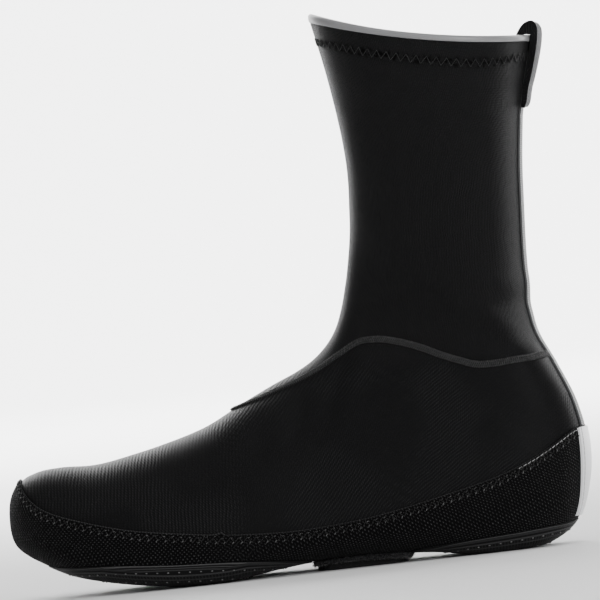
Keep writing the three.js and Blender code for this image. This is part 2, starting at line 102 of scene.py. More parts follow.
def along(share):
    return -LENGTH / 2 + share * LENGTH


def reach(share):
    return along(ANKLE_ALONG) + share * SHAFT_DEPTH


def level(share):
    return share * ANKLE_HEIGHT if share <= 1 else ANKLE_HEIGHT + (share - 1) * (COLLAR_HEIGHT - ANKLE_HEIGHT)


def tread(rise):
    return SOLE_OFFSET - SOLE_PRESS + rise * ANKLE_HEIGHT


def ball(share):
    return share * BALL_WIDTH / 2


def heel(share):
    return share * HEEL_WIDTH / 2


def shaft(share):
    return share * SHAFT_WIDTH / 2


def collar(share):
    return share * COLLAR_WIDTH / 2


# name, top x, top z, bottom x, bottom z, outer, inner, belt, dome, base
SECTIONS = [
    ("toe tip", along(0), level(0.375), along(0), level(0.375), ball(-0.14), ball(0.14), 0.5, 2.1, 2.2),
    ("toe cap", along(0.008), level(0.495), along(0.0065), level(0.262), ball(0.13), ball(0.4), 0.48, 2.1, 2.3),
    ("toe box", along(0.025), level(0.556), along(0.024), level(0.217), ball(0.34), ball(0.59), 0.44, 2.2, 2.6),
    ("toe top", along(0.052), level(0.587), along(0.052), level(0.173), ball(0.54), ball(0.72), 0.4, 2.3, 3.0),
    ("toes", along(0.092), level(0.598), along(0.095), tread(0.105), ball(0.72), ball(0.82), 0.36, 2.3, 3.5),
    ("toe joint", along(0.152), level(0.593), along(0.158), tread(0.057), ball(0.87), ball(0.91), 0.34, 2.3, 4.0),
    ("ball front", along(0.218), level(0.62), along(0.232), tread(0.022), ball(0.965), ball(0.98), 0.32, 2.2, 5.0),
    ("ball", along(0.285), level(0.66), along(0.303), tread(0), ball(1.0), ball(1.0), 0.31, 2.15, 5.4),
    ("ball back", along(0.352), level(0.713), along(0.365), tread(0), ball(1.0), ball(0.95), 0.31, 2.1, 5.4),
    ("waist front", along(0.415), level(0.797), along(0.432), tread(0.024), ball(0.955), ball(0.86), 0.33, 2.1, 5.4),
    ("waist", along(0.472), level(0.868), along(0.505), tread(0.045), ball(0.88), ball(0.77), 0.35, 2.1, 5.6),
    ("arch", along(0.518), level(0.92), along(0.578), tread(0.054), ball(0.815), ball(0.71), 0.37, 2.15, 5.8),
    ("instep", along(0.552), level(0.973), along(0.652), tread(0.046), heel(1.09), heel(0.94), 0.39, 2.2, 5.6),
    ("bend", along(0.577), level(1.024), along(0.725), tread(0.031), heel(1.06), heel(0.95), 0.42, 2.25, 5.5),
    ("throat", reach(-0.668), level(1.062), along(0.798), tread(0), heel(1.04), heel(0.98), 0.44, 2.3, 5.4),
    ("heel front", reach(-0.635), level(1.1), along(0.865), tread(0), heel(1.02), heel(0.99), 0.46, 2.3, 5.2),
    ("heel", reach(-0.61), level(1.139), along(0.918), tread(0.016), heel(1.0), heel(0.99), 0.47, 2.3, 4.4),
    ("heel edge", reach(-0.59), level(1.178), along(0.964), tread(0.09), heel(0.98), heel(0.98), 0.48, 2.3, 3.4),
    ("heel cup", reach(-0.57), level(1.219), along(0.993), level(0.286), heel(0.96), heel(0.96), 0.5, 2.25, 2.5),
    ("heel back", reach(-0.551), level(1.267), along(0.9995), level(0.46), heel(0.97), heel(0.97), 0.5, 2.2, 2.25),
    ("heel top", reach(-0.534), level(1.314), along(0.989), level(0.64), heel(0.99), heel(0.99), 0.5, 2.15, 2.15),
    ("tendon", reach(-0.52), level(1.367), along(0.9625), level(0.825), shaft(0.96), shaft(0.96), 0.5, 2.1, 2.1),
    ("ankle", reach(-0.511), level(1.427), reach(0.488), level(1.0), shaft(0.96), shaft(0.96), 0.5, 2.1, 2.1),
    ("shin", reach(-0.502), level(1.492), reach(0.47), level(1.11), shaft(0.965), shaft(0.965), 0.5, 2.1, 2.1),
    ("shaft low", reach(-0.5), level(1.557), reach(0.473), level(1.226), shaft(0.975), shaft(0.975), 0.5, 2.1, 2.1),
    ("shaft mid", reach(-0.51), level(1.645), reach(0.489), level(1.37), shaft(1.0), shaft(1.0), 0.5, 2.1, 2.1),
    ("shaft high", reach(-0.532), level(1.745), reach(0.512), level(1.53), shaft(1.06), shaft(1.06), 0.5, 2.1, 2.1),
    ("cuff", reach(-0.562), level(1.85), reach(0.556), level(1.69), collar(0.93), collar(0.93), 0.5, 2.1, 2.1),
    ("hem", reach(-0.592), level(1.935), reach(0.612), level(1.803), collar(0.98), collar(0.98), 0.5, 2.1, 2.1),
    ("collar", reach(-0.616), level(1.998), reach(0.642), level(1.868), collar(1.0), collar(1.0), 0.5, 2.1, 2.1),
    ("over collar", reach(-0.636), level(2.078), reach(0.668), level(1.948), collar(1.02), collar(1.02), 0.5, 2.1,
     2.1),
]
ROW = {row[0]: i for i, row in enumerate(SECTIONS)}
VALUES = np.array([row[1:] for row in SECTIONS])
STEPS = np.diff(VALUES[:, :4], axis=0)
STATIONS = np.concatenate([[0], np.cumsum(
    (np.hypot(STEPS[:, 0], STEPS[:, 1]) + np.hypot(STEPS[:, 2], STEPS[:, 3])) / 2)])
RIM = STATIONS[ROW["collar"]]
COLLAR_SEAM = RIM - 10.6  # where the collar's zigzag runs
SHIFT = np.array([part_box("upper")[0].x * 1000 - along(0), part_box("upper")[0].y * 1000 + BALL_WIDTH / 2, 0.0])
print("form length along its stations:", round(STATIONS[-1]), "mm; moved to the frame by", SHIFT.round(2))


# %% [markdown]
# Between sections each value follows a smooth cubic curve. numpy works out thousands of points at once.

# %% Points and normals of the form
def slopes(values):
    rate = np.diff(values, axis=0) / np.diff(STATIONS)[:, None]
    before, after = np.diff(STATIONS)[:-1, None], np.diff(STATIONS)[1:, None]
    middle = (rate[:-1] * after + rate[1:] * before) / (before + after)
    return np.concatenate([[1.5 * rate[0] - 0.5 * rate[1]], middle, [rate[-1]]])


SLOPES = slopes(VALUES)


def section_at(station):
    i = np.clip(np.searchsorted(STATIONS, station, side="left") - 1, 0, len(STATIONS) - 2)
    span = (STATIONS[i + 1] - STATIONS[i])[..., None]
    s = (station[..., None] - STATIONS[i][..., None]) / span
    rise = VALUES[i + 1] - VALUES[i]
    bend = (1 - s) * (SLOPES[i] * span - rise) + s * (rise - SLOPES[i + 1] * span)
    return VALUES[i] + s * rise + s * (1 - s) * bend


def smoothstep(value, start, end):
    t = np.clip((value - start) / (end - start), 0, 1)
    return t * t * (3 - 2 * t)


def form_point(station, angle):
    station, angle = np.broadcast_arrays(np.asarray(station, float), np.asarray(angle, float))
    v = section_at(station)
    top_x, top_z, bottom_x, bottom_z, outer, inner, belt, dome, base = np.moveaxis(v, -1, 0)
    upper = np.cos(angle) >= 0
    power = 2 / np.where(upper, dome, base)
    up = np.abs(np.cos(angle)) ** power
    out = np.abs(np.sin(angle)) ** power * np.sign(np.sin(angle))
    belt_x, belt_z = bottom_x + (top_x - bottom_x) * belt, bottom_z + (top_z - bottom_z) * belt
    x = belt_x + (np.where(upper, top_x, bottom_x) - belt_x) * up
    y = (inner - outer) / 2 - out * (inner + outer) / 2
    z = belt_z + (np.where(upper, top_z, bottom_z) - belt_z) * up
    z = z - COLLAR_SAG * smoothstep(station, STATIONS[ROW["shaft mid"]], RIM) * np.sin(angle) ** 2
    return np.stack([x, y, z], axis=-1)


def form_normal(station, angle):
    station, angle = np.broadcast_arrays(np.asarray(station, float), np.asarray(angle, float))
    ahead = form_point(station + 0.5, angle) - form_point(np.maximum(station - 0.5, 0), angle)
    around = form_point(station, angle + 0.02) - form_point(station, angle - 0.02)
    normal = np.cross(around, ahead)
    size = np.linalg.norm(normal, axis=-1, keepdims=True)
    normal = normal / np.maximum(size, 1e-9)
    return np.where((station < 0.5)[..., None], [-1.0, 0.0, 0.0], normal)


def station_at(row):
    return np.interp(row, np.arange(len(STATIONS)), STATIONS)


# %% [markdown]
# Neoprene that stands empty keeps a few soft folds. Each is a long shallow trough or ridge, placed where the
# sock bends: centre along and up the side, direction, half length, half width, depth, and which side it is on.

# %% Soft folds
FOLD_DEPTH = 1.7
FOLDS = [  # x mm, z mm, degrees, half length, half width, rise mm, side (1 outer, -1 inner, 0 both)
    (31, 104, 62, 20, 4.5, -0.55, 0), (38, 100, 66, 22, 5.0, 0.45, 0), (24, 92, 70, 17, 4.0, -0.4, 0),
    (6, 82, 76, 15, 3.6, -0.35, 0), (-4, 78, 82, 14, 3.6, 0.3, 0), (-16, 72, 86, 13, 3.4, -0.28, 0),
    (52, 126, 24, 17, 4.2, -0.4, 1), (50, 121, 20, 19, 4.2, -0.35, -1), (60, 137, 12, 19, 5.0, 0.4, 0),
    (118, 128, -14, 16, 4.6, -0.5, 0), (116, 138, -9, 18, 5.2, 0.4, 0), (120, 110, -24, 14, 4.4, -0.35, 1),
    (121, 236, 3, 13, 2.6, -0.5, 0), (120, 229, 2, 15, 2.8, 0.45, 0), (122, 222, -2, 14, 2.8, -0.4, 1),
    (84, 168, 82, 34, 9.0, -0.5, 1), (70, 180, 80, 44, 9.0, 0.55, 1), (92, 190, 84, 40, 10.0, 0.4, -1),
    (58, 215, 78, 30, 8.0, -0.4, 1), (100, 72, 38, 26, 7.0, -0.35, 0), (84, 66, 36, 24, 7.0, 0.3, 0),
    (-62, 58, 80, 15, 6.0, -0.22, 1), (-86, 52, 78, 14, 6.0, 0.2, -1),
]


def relief(points, angle):
    """How far the folds lift the cloth, in mm."""
    lift = np.zeros(points.shape[:-1])
    for x, z, degrees, half_length, half_width, rise, side in FOLDS:
        turn = math.radians(degrees)
        dx, dz = points[..., 0] - x, points[..., 2] - z
        with_it = (dx * math.cos(turn) + dz * math.sin(turn)) / half_length
        across = (-dx * math.sin(turn) + dz * math.cos(turn)) / half_width
        here = 1.0 if side == 0 else 0.5 + 0.5 * np.tanh(4 * side * np.sin(angle))
        lift += rise * np.exp(-with_it ** 2 - across ** 2) * here
    return FOLD_DEPTH * lift


def surface(station, angle, offset=0.0):
    """Points of a layer at an offset from the sock's outer face, in metres, in the frame."""
    station, angle = np.broadcast_arrays(np.asarray(station, float), np.asarray(angle, float))
    points = form_point(station, angle)
    fade = smoothstep(station, STATIONS[2], STATIONS[5]) * (1 - smoothstep(station, RIM - 22, RIM - 8))
    lift = relief(points, angle) * fade
    normal = form_normal(station, angle)
    return (points + normal * (offset + lift)[..., None] + SHIFT) / 1000


print("folds:", len(FOLDS), "deepest", min(f[5] for f in FOLDS), "mm")


# %% [markdown]
# ## Mesh helpers
# A layer of cloth is a closed skin between two offsets of the form. Panels are cut from it with prisms that carry
# the side view lines, just as a pattern is cut. The Boolean modifier does the cutting and is then applied.

# %% Make and cut meshes
def keep(obj):
    bpy.context.scene.collection.objects.link(obj)
    return obj


def mesh_object(name, points, faces, uvs=None, kinds=None):
    mesh = bpy.data.meshes.new(name)
    mesh.from_pydata(np.asarray(points).tolist(), [], faces)
    if uvs is not None:
        layer = mesh.uv_layers.new(name="cloth")
        layer.data.foreach_set("uv", np.asarray(uvs, dtype=np.float32).ravel())
    if kinds is not None:
        mesh.polygons.foreach_set("material_index", kinds)
    mesh.validate()
    return keep(bpy.data.objects.new(name, mesh))


def settle(obj):
    """Applies an object's modifiers, so that only a plain mesh is left."""
    graph = bpy.context.evaluated_depsgraph_get()
    done = bpy.data.meshes.new_from_object(obj.evaluated_get(graph), preserve_all_data_layers=True, depsgraph=graph)
    obj.modifiers.clear()
    old, obj.data = obj.data, done
    bpy.data.meshes.remove(old)
    return obj


def drop(obj):
    mesh = obj.data
    bpy.data.objects.remove(obj)
    bpy.data.meshes.remove(mesh)


def outward(obj):
    """Turns every face of a closed mesh outwards."""
    work = bmesh.new()
    work.from_mesh(obj.data)
    bmesh.ops.recalc_face_normals(work, faces=work.faces)
    work.to_mesh(obj.data)
    work.free()
    return obj


def finish_piece(obj, finish, replaced):
    """Gives a piece its one material, and tells the frame what it rides on, replaces and is made of."""
    obj.data.materials.clear()
    obj.data.materials.append(finish)
    obj.data.polygons.foreach_set("material_index", [0] * len(obj.data.polygons))
    shade(obj)
    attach(obj, "root")
    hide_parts(replaced)
    print(obj.name + ":", len(obj.data.polygons), "faces")
    return obj


def shade(obj, degrees=38):
    mesh = obj.data
    mesh.polygons.foreach_set("use_smooth", [True] * len(mesh.polygons))
    mesh.set_sharp_from_angle(angle=math.radians(degrees))
    return obj


def cut(obj, tool, operation):
    modifier = obj.modifiers.new("cut", "BOOLEAN")
    modifier.operation, modifier.solver, modifier.object = operation, "MANIFOLD", tool
    settle(obj)
    drop(tool)
    if not obj.data.polygons:
        raise RuntimeError(obj.name + " was cut away")
    return obj


def skin(name, inside, outside, rings=190, columns=160, start=0.0, end=RIM):
    """The closed skin between two offsets, with millimetres around and along as its UV map."""
    last = ROW["collar"] if end == RIM else np.interp(end, STATIONS, np.arange(len(STATIONS)))
    stations = station_at(np.linspace(0, last, rings + 1)[1:])
    angles = np.arange(columns) / columns * 2 * math.pi
    points, sides = [], []
    for offset in (outside, inside):
        grid = surface(stations[:, None], angles[None, :], offset)
        points += [surface(0.0, 0.0, offset)[None, :], grid.reshape(-1, 3)]
        sides.append(grid)
    points = np.concatenate(points)
    around = np.linalg.norm(np.diff(np.concatenate([sides[0], sides[0][:, :1]], axis=1), axis=1), axis=2)
    around = np.concatenate([np.zeros((rings, 1)), np.cumsum(around, axis=1)], axis=1) * 1000
    girth = around[:, -1:]
    half = columns // 2
    size = 1 + rings * columns
    faces, uvs, kinds = [], [], []

    def uv(ring, column, wrapped):
        return (around[ring, column] - (girth[ring, 0] if wrapped else 0), stations[ring])

    for column in range(columns):
        after, wrapped = (column + 1) % columns, column >= half
        for side in (0, 1):
            base = side * size
            tip = [base, base + 1 + after, base + 1 + column]
            corner = [((uv(0, column, wrapped)[0] + uv(0, column + 1, wrapped)[0]) / 2, 0.0),
                      uv(0, column + 1, wrapped), uv(0, column, wrapped)]
            faces.append(tip if side == 0 else tip[::-1])
            uvs += corner if side == 0 else corner[::-1]
            kinds.append(side)
            for ring in range(rings - 1):
                low, high = base + 1 + ring * columns, base + 1 + (ring + 1) * columns
                quad = [low + column, low + after, high + after, high + column]
                corner = [uv(ring, column, wrapped), uv(ring, column + 1, wrapped),
                          uv(ring + 1, column + 1, wrapped), uv(ring + 1, column, wrapped)]
                faces.append(quad if side == 0 else quad[::-1])
                uvs += corner if side == 0 else corner[::-1]
                kinds.append(side)
        top = 1 + (rings - 1) * columns
        faces.append([top + column, top + after, size + top + after, size + top + column])
        edge = [uv(rings - 1, column, wrapped), uv(rings - 1, column + 1, wrapped)]
        uvs += [*edge, edge[1], edge[0]]
        kinds.append(0)
    return mesh_object(name, points, faces, uvs, kinds)


def column_of(name, outline, low, high, place):
    """A closed prism over an outline; place(a, b, depth) gives each corner in millimetres."""
    count = len(outline)
    points = [place(a, b, depth) for depth in (low, high) for a, b in outline]
    sides = [[i, (i + 1) % count, count + (i + 1) % count, count + i] for i in range(count)]
    obj = mesh_object(name, (np.array(points) + SHIFT) / 1000,
                      [list(range(count))[::-1], list(range(count, 2 * count)), *sides])
    work = bmesh.new()
    work.from_mesh(obj.data)
    bmesh.ops.recalc_face_normals(work, faces=work.faces)
    bmesh.ops.triangulate(work, faces=work.faces)
    work.to_mesh(obj.data)
    work.free()
    return obj


def side_prism(outline, low=-BALL_WIDTH, high=BALL_WIDTH):
    return column_of("side_prism", outline, low, high, lambda x, z, y: (x, y, z))


def sole_post(outline):
    return column_of("sole_post", outline, -45, 45, lambda x, y, z: (x, y, z))


print("mesh helpers ready")


# %% [markdown]
# ## Pattern lines
# The edges of the panels, drawn in side view as shares of the length and of the ankle height. A Catmull-Rom curve
# runs through the points.

# %% Side view lines
def spline(points, steps):
    points = np.array(points, float)
    padded = np.concatenate([points[:1], points, points[-1:]])
    t = np.linspace(0, len(points) - 1, steps + 1)
    i = np.minimum(t.astype(int), len(points) - 2)
    u = (t - i)[:, None]
    p0, p1, p2, p3 = padded[i], padded[i + 1], padded[i + 2], padded[i + 3]
    v0, v1 = (p2 - p0) / 2, (p3 - p1) / 2
    return (2 * p1 - 2 * p2 + v0 + v1) * u ** 3 + (-3 * p1 + 3 * p2 - 2 * v0 - v1) * u ** 2 + v0 * u + p1


def side_line(shares, steps=160):
    return spline([[along(x), level(z)] for x, z in shares], steps)


RAND_TOP = side_line([
    (0.0195, 0.62), (0.0225, 0.554), (0.0332, 0.496), (0.0522, 0.441), (0.0805, 0.396), (0.1365, 0.343),
    (0.2085, 0.29), (0.2778, 0.257), (0.3595, 0.227), (0.4335, 0.209), (0.5025, 0.203), (0.5752, 0.213),
    (0.6308, 0.229), (0.6865, 0.254), (0.7298, 0.277), (0.8082, 0.322), (0.8582, 0.359), (0.9088, 0.4125),
    (0.9478, 0.469), (0.974, 0.512), (0.992, 0.528), (1.02, 0.534)], 260)
FOREFOOT_EDGE = side_line([
    (-0.02, 0.165), (0.049, 0.155), (0.1105, 0.146), (0.1845, 0.136), (0.28, 0.113), (0.379, 0.098),
    (0.4445, 0.083), (0.49, 0.067), (0.511, 0.056)], 80)
HEEL_EDGE = side_line([
    (0.686, 0.052), (0.749, 0.069), (0.8225, 0.08), (0.871, 0.0865), (0.92, 0.096), (0.967, 0.107),
    (1.02, 0.122)], 60)
STRAP_TOP = side_line([(0.505, 0.045), (0.515, 0.046), (0.567, 0.052), (0.618, 0.0545), (0.69, 0.0445)], 30)
SEAM = [
    (8.8, 0), (8.92, 8), (9.4, 15), (10.1, 20), (11.3, 23.5), (12.8, 29), (14.3, 35.5), (15.5, 43), (16.65, 53),
    (17.26, 61), (17.78, 71), (18.14, 80), (18.52, 88), (18.93, 95), (19.5, 105), (20.2, 120), (20.94, 145),
    (21.23, 164)]


def on_form(line, drop_by=0.0, side=1, last_row="ankle"):
    """Stations and angles where a side view line, lowered by drop_by mm, meets one side of the form."""
    stations = np.linspace(1.0, STATIONS[ROW[last_row]], 700)
    angles = np.linspace(0.001, math.pi - 0.001, 420) * side
    points = form_point(stations[:, None], angles[None, :])
    gap = points[..., 2] - (np.interp(points[..., 0], line[:, 0], line[:, 1]) - drop_by)
    found = []
    i, j = np.nonzero(gap[:-1] * gap[1:] < 0)
    t = gap[i, j] / (gap[i, j] - gap[i + 1, j])
    found.append(np.stack([stations[i] + t * (stations[i + 1] - stations[i]), angles[j]], axis=1))
    i, j = np.nonzero(gap[:, :-1] * gap[:, 1:] < 0)
    t = gap[i, j] / (gap[i, j] - gap[i, j + 1])
    found.append(np.stack([stations[i], angles[j] + t * (angles[j + 1] - angles[j])], axis=1))
    found = np.concatenate(found)
    return found[np.argsort(form_point(found[:, 0], found[:, 1])[:, 0])]


def even_path(path, spacing, offset):
    """Resamples stations and angles at an even spacing in mm, with the point and normal of each."""
    path = np.stack([path[:, 0], np.unwrap(path[:, 1])], axis=1)
    points = surface(path[:, 0], path[:, 1], offset)
    walked = np.concatenate([[0], np.cumsum(np.linalg.norm(np.diff(points, axis=0), axis=1))]) * 1000
    fresh = np.concatenate([[True], np.diff(walked) > 1e-4])
    walked, path = walked[fresh], path[fresh]
    count = max(2, int(round(walked[-1] / spacing)))
    at = np.linspace(0, walked[-1], count + 1)
    even = np.stack([np.interp(at, walked, path[:, k]) for k in (0, 1)], axis=1)
    soft = even.copy()
    for _ in range(3):
        soft[1:-1] = (soft[:-2] + 2 * soft[1:-1] + soft[2:]) / 4
    return soft, surface(soft[:, 0], soft[:, 1], offset), form_normal(soft[:, 0], soft[:, 1])


def all_round(line, drop_by=0.0):
    """A line's way round the whole shoe: outer side from the heel to the toe, then the inner side back."""
    outer = on_form(line, drop_by, 1)[::-1]
    inner = on_form(line, drop_by, -1)
    return np.concatenate([outer, inner])


rand_path = even_path(all_round(RAND_TOP), 1.0, 0.0)[0]
print("rand edge runs", len(rand_path) - 1, "mm round the shoe")

# %% [markdown]
# ## Node helpers
# Shader and geometry trees are built by the same small function: it adds a node, sets its options and fills or links
# its inputs.


# %% Build node trees
def node(tree, kind, inputs=None, **options):
    made = tree.nodes.new(kind)
    for key, value in options.items():
        setattr(made, key, value)
    for key, value in (inputs or {}).items():
        socket = made.inputs[key]
        if isinstance(value, bpy.types.NodeSocket):
            tree.links.new(value, socket)
        else:
            socket.default_value = value
    return made


def math_node(tree, operation, *values, clamp=False):
    return node(tree, "ShaderNodeMath", dict(enumerate(values)), operation=operation, use_clamp=clamp).outputs[0]


def short_for(operation):
    def work(tree, *values, clamp=False):
        return math_node(tree, operation, *values, clamp=clamp)
    return work


plus, minus, times, over, sine, absolute = (
    short_for(name) for name in ("ADD", "SUBTRACT", "MULTIPLY", "DIVIDE", "SINE", "ABSOLUTE"))


def noise(tree, where, scale, detail=2.0):
    return node(tree, "ShaderNodeTexNoise", {"Vector": where, "Scale": scale, "Detail": detail}).outputs[0]


def object_place(tree):
    return node(tree, "ShaderNodeTexCoord").outputs["Object"]


def ramp(tree, value, low, high, to_low=0.0, to_high=1.0):
    return node(tree, "ShaderNodeMapRange", {0: value, 1: low, 2: high, 3: to_low, 4: to_high},
                interpolation_type="SMOOTHSTEP").outputs[0]


def group(name, inputs, outputs, kind="ShaderNodeTree"):
    tree = bpy.data.node_groups.new(name, kind)
    for label, sort, value in inputs:
        socket = tree.interface.new_socket(name=label, in_out="INPUT", socket_type="NodeSocket" + sort)
        if value is not None:
            socket.default_value = value
    for label, sort in outputs:
        tree.interface.new_socket(name=label, in_out="OUTPUT", socket_type="NodeSocket" + sort)
    return tree, tree.nodes.new("NodeGroupInput"), tree.nodes.new("NodeGroupOutput")


def use_group(tree, name, **inputs):
    named = {key.replace("_", " "): value for key, value in inputs.items()}
    return node(tree, "ShaderNodeGroup", named, node_tree=bpy.data.node_groups[name])


def material(name, **constants):
    made = bpy.data.materials.new(name)
    made.use_nodes = True
    tree = made.node_tree
    shader = tree.nodes["Principled BSDF"]
    for key, value in constants.items():
        shader.inputs[key.replace("_", " ")].default_value = value
    return made, tree, shader


def mix(tree, factor, first, second):
    made = node(tree, "ShaderNodeMix", {0: factor}, data_type="RGBA")
    for socket, value in ((made.inputs[6], first), (made.inputs[7], second)):
        if isinstance(value, bpy.types.NodeSocket):
            tree.links.new(value, socket)
        else:
            socket.default_value = (*value, 1.0) if isinstance(value, tuple) else (value, value, value, 1.0)
    return made.outputs[2]


def paint(tree, shader, factor, dark, light):
    """The base colour goes from dark to light as the factor rises."""
    tree.links.new(mix(tree, factor, dark, light), shader.inputs["Base Color"])


def polish(tree, shader, value, low, high, to_low, to_high):
    """The roughness follows a value from low to high."""
    tree.links.new(ramp(tree, value, low, high, to_low, to_high), shader.inputs["Roughness"])


print("node helpers ready")

# %% [markdown]
# ## Shared effects
# *Knit* is the jersey face of neoprene: rows of tiny loops, so it has wales one way and courses the other. *Weave* is
# a coarse cloth of thick yarns that cross over each other, and *ribs* are lines pressed into rubber or woven into
# tape. Each is a group that works in millimetres of the piece's own UV map.

# %% Knit, weave and ribs
tree, into, out = group("knit", [("Vector", "Vector", None), ("Wale", "Float", 0.9), ("Course", "Float", 0.7),
                                 ("Turn", "Float", 0.0)], [("Height", "Float"), ("Fleck", "Float")])
turned = node(tree, "ShaderNodeVectorRotate", {"Vector": into.outputs["Vector"], "Angle": into.outputs["Turn"]},
              rotation_type="Z_AXIS")
drift = noise(tree, into.outputs["Vector"], 0.11)
split = node(tree, "ShaderNodeSeparateXYZ", {"Vector": turned.outputs[0]})
wander = times(tree, minus(tree, drift, 0.5), 2.2)
across = over(tree, plus(tree, split.outputs[0], wander), into.outputs["Wale"])
down = over(tree, split.outputs[1], into.outputs["Course"])
wale = sine(tree, times(tree, across, 2 * math.pi))
course = sine(tree, times(tree, plus(tree, down, across), 2 * math.pi))
loops = times(tree, course, 0.35)
height = plus(tree, times(tree, wale, 0.65), loops)
tree.links.new(height, out.inputs["Height"])
grain = noise(tree, into.outputs["Vector"], 1.6, 3.0)
tree.links.new(ramp(tree, grain, 0.35, 0.75), out.inputs["Fleck"])

tree, into, out = group("weave", [("Vector", "Vector", None), ("Warp", "Float", 3.1), ("Weft", "Float", 1.9),
                                  ("Turn", "Float", 0.0)], [("Height", "Float"), ("Crown", "Float")])
turned = node(tree, "ShaderNodeVectorRotate", {"Vector": into.outputs["Vector"], "Angle": into.outputs["Turn"]},
              rotation_type="Z_AXIS")
split = node(tree, "ShaderNodeSeparateXYZ", {"Vector": turned.outputs[0]})
jitter = noise(tree, into.outputs["Vector"], 0.45)
shake = times(tree, minus(tree, jitter, 0.5), 0.9)
u = over(tree, plus(tree, split.outputs[0], shake), into.outputs["Warp"])
v = over(tree, plus(tree, split.outputs[1], shake), into.outputs["Weft"])
su = sine(tree, times(tree, u, 2 * math.pi))
sv = sine(tree, times(tree, v, 2 * math.pi))
both = times(tree, su, sv)
tree.links.new(ramp(tree, both, -0.5, 0.9), out.inputs["Height"])
tree.links.new(ramp(tree, both, 0.35, 0.95), out.inputs["Crown"])

tree, into, out = group("ribs", [("Value", "Float", 0.0), ("Pitch", "Float", 1.0), ("Share", "Float", 0.5)],
                        [("Ridge", "Float")])
phase = math_node(tree, "FRACT", over(tree, into.outputs["Value"], into.outputs["Pitch"]))
off = absolute(tree, minus(tree, phase, 0.5))
edge = times(tree, into.outputs["Share"], 0.5)
ridge = minus(tree, 1.0, over(tree, off, edge), clamp=True)
tree.links.new(ridge, out.inputs["Ridge"])
print("shared effects:", [g.name for g in bpy.data.node_groups])


def cloth_uv(tree):
    return node(tree, "ShaderNodeUVMap", uv_map="cloth").outputs[0]


def bump(tree, shader, height, distance, strength=1.0):
    made = node(tree, "ShaderNodeBump", {"Height": height, "Distance": distance, "Strength": strength})
    tree.links.new(made.outputs[0], shader.inputs["Normal"])
    return made


# %% [markdown]
# ## Neoprene
# The face of the sock is matt black jersey. Its knit shows as fine wales that run up the shaft and fan out over the
# side of the foot, and the loose fibres give it a soft sheen where the light grazes it.

# %% The neoprene material
NEOPRENE, tree, shader = material(
    "neoprene_jersey", Roughness=0.42, Sheen_Weight=0.015, Sheen_Roughness=0.3, Specular_IOR_Level=0.03)
uv = cloth_uv(tree)
place = object_place(tree)
where = node(tree, "ShaderNodeSeparateXYZ", {"Vector": place})
low = ramp(tree, where.outputs[2], 0.118, 0.092)
fine = use_group(tree, "knit", Vector=uv, Wale=0.95, Course=0.8)
side = node(tree, "ShaderNodeVectorMath", {0: place, 3: 1000.0}, operation="SCALE").outputs[0]
turn = node(tree, "ShaderNodeCombineXYZ", {0: node(tree, "ShaderNodeSeparateXYZ", {0: side}).outputs[0],
                                          1: node(tree, "ShaderNodeSeparateXYZ", {0: side}).outputs[2]}).outputs[0]
front = use_group(tree, "knit", Vector=turn, Wale=1.75, Course=1.3, Turn=0.08)
middle = use_group(tree, "knit", Vector=turn, Wale=1.6, Course=1.3, Turn=0.72)
rear = use_group(tree, "knit", Vector=turn, Wale=1.5, Course=1.3, Turn=0.98)
to_middle = ramp(tree, where.outputs[0], -0.05, -0.005)
to_rear = ramp(tree, where.outputs[0], 0.03, 0.075)


def blend_values(tree, factor, first, second):
    return node(tree, "ShaderNodeMix", {0: factor, 2: first, 3: second}, data_type="FLOAT").outputs[0]


foot = blend_values(tree, to_rear, blend_values(tree, to_middle, front.outputs[0], middle.outputs[0]),
                    rear.outputs[0])
patches = noise(tree, place, 22.0, 1.0)
strong = ramp(tree, patches, 0.4, 0.6, 0.25, 1.0)
height = blend_values(tree, low, fine.outputs[0], times(tree, foot, strong))
bump(tree, shader, height, 0.00014)
dusty = times(tree, fine.outputs["Fleck"], 0.35)
# Painted highlight: the raised loops of the knit are painted lighter, as if they catch the light. The flecks above
# are the cloth's own paler fibres.
crest_highlight = times(tree, ramp(tree, height, 0.0, 0.9), 0.55)
up_shaft = node(tree, "ShaderNodeSeparateXYZ", {"Vector": uv}).outputs[1]
# Painted shade: along the collar zigzag the cloth is painted near black in patches, standing in for the shade in its
# puckers.
seam_band = absolute(tree, minus(tree, up_shaft, COLLAR_SEAM))
pucker_shade_patches = noise(tree, uv, 0.42, 1.0)
pucker_shade = times(tree, ramp(tree, seam_band, 4.2, 1.2), ramp(tree, pucker_shade_patches, 0.42, 0.62))
cloth = mix(tree, plus(tree, dusty, crest_highlight, clamp=True), (0.0055, 0.0055, 0.0058), (0.022, 0.022, 0.0225))
# The painted pucker shade goes over the knit colour.
paint(tree, shader, pucker_shade, cloth, (0.001, 0.001, 0.001))
polish(tree, shader, fine.outputs["Fleck"], 0.0, 1.0, 0.4, 0.52)

LINING, tree, shader = material("sock_lining", Roughness=0.9, Sheen_Weight=0.3, Sheen_Roughness=0.6)
fleece = node(tree, "ShaderNodeTexVoronoi", {"Vector": cloth_uv(tree), "Scale": 0.85, "Randomness": 0.7})
bump(tree, shader, fleece.outputs["Distance"], 0.0003)
paint(tree, shader, fleece.outputs["Distance"], (0.07, 0.07, 0.073), (0.03, 0.03, 0.032))
print("neoprene and its lining are ready")


# %% [markdown]
# ## The sock
# One hollow skin 2 mm thick, open at the collar and underneath, where its edge is turned in under the foot.

# %% Make the sock
def underside_outline(margin=SOLE_MARGIN, steps=90):
    share = (1 - np.cos(np.pi * np.linspace(0, 1, steps))) / 2
    first, last = STATIONS[ROW["toes"]], STATIONS[ROW["heel"]]
    stations = first + (last - first) * share
    rows = section_at(stations)
    x = rows[:, 2]
    middle, half = (x[0] + x[-1]) / 2, (x[-1] - x[0]) / 2
    end = np.sqrt(np.maximum(0, 1 - ((x - middle) / half) ** 12))
    outer = np.stack([x, -(rows[:, 4] - margin) * end], axis=1)
    inner = np.stack([x, (rows[:, 5] - margin) * end], axis=1)
    return np.concatenate([outer, inner[1:-1][::-1]])


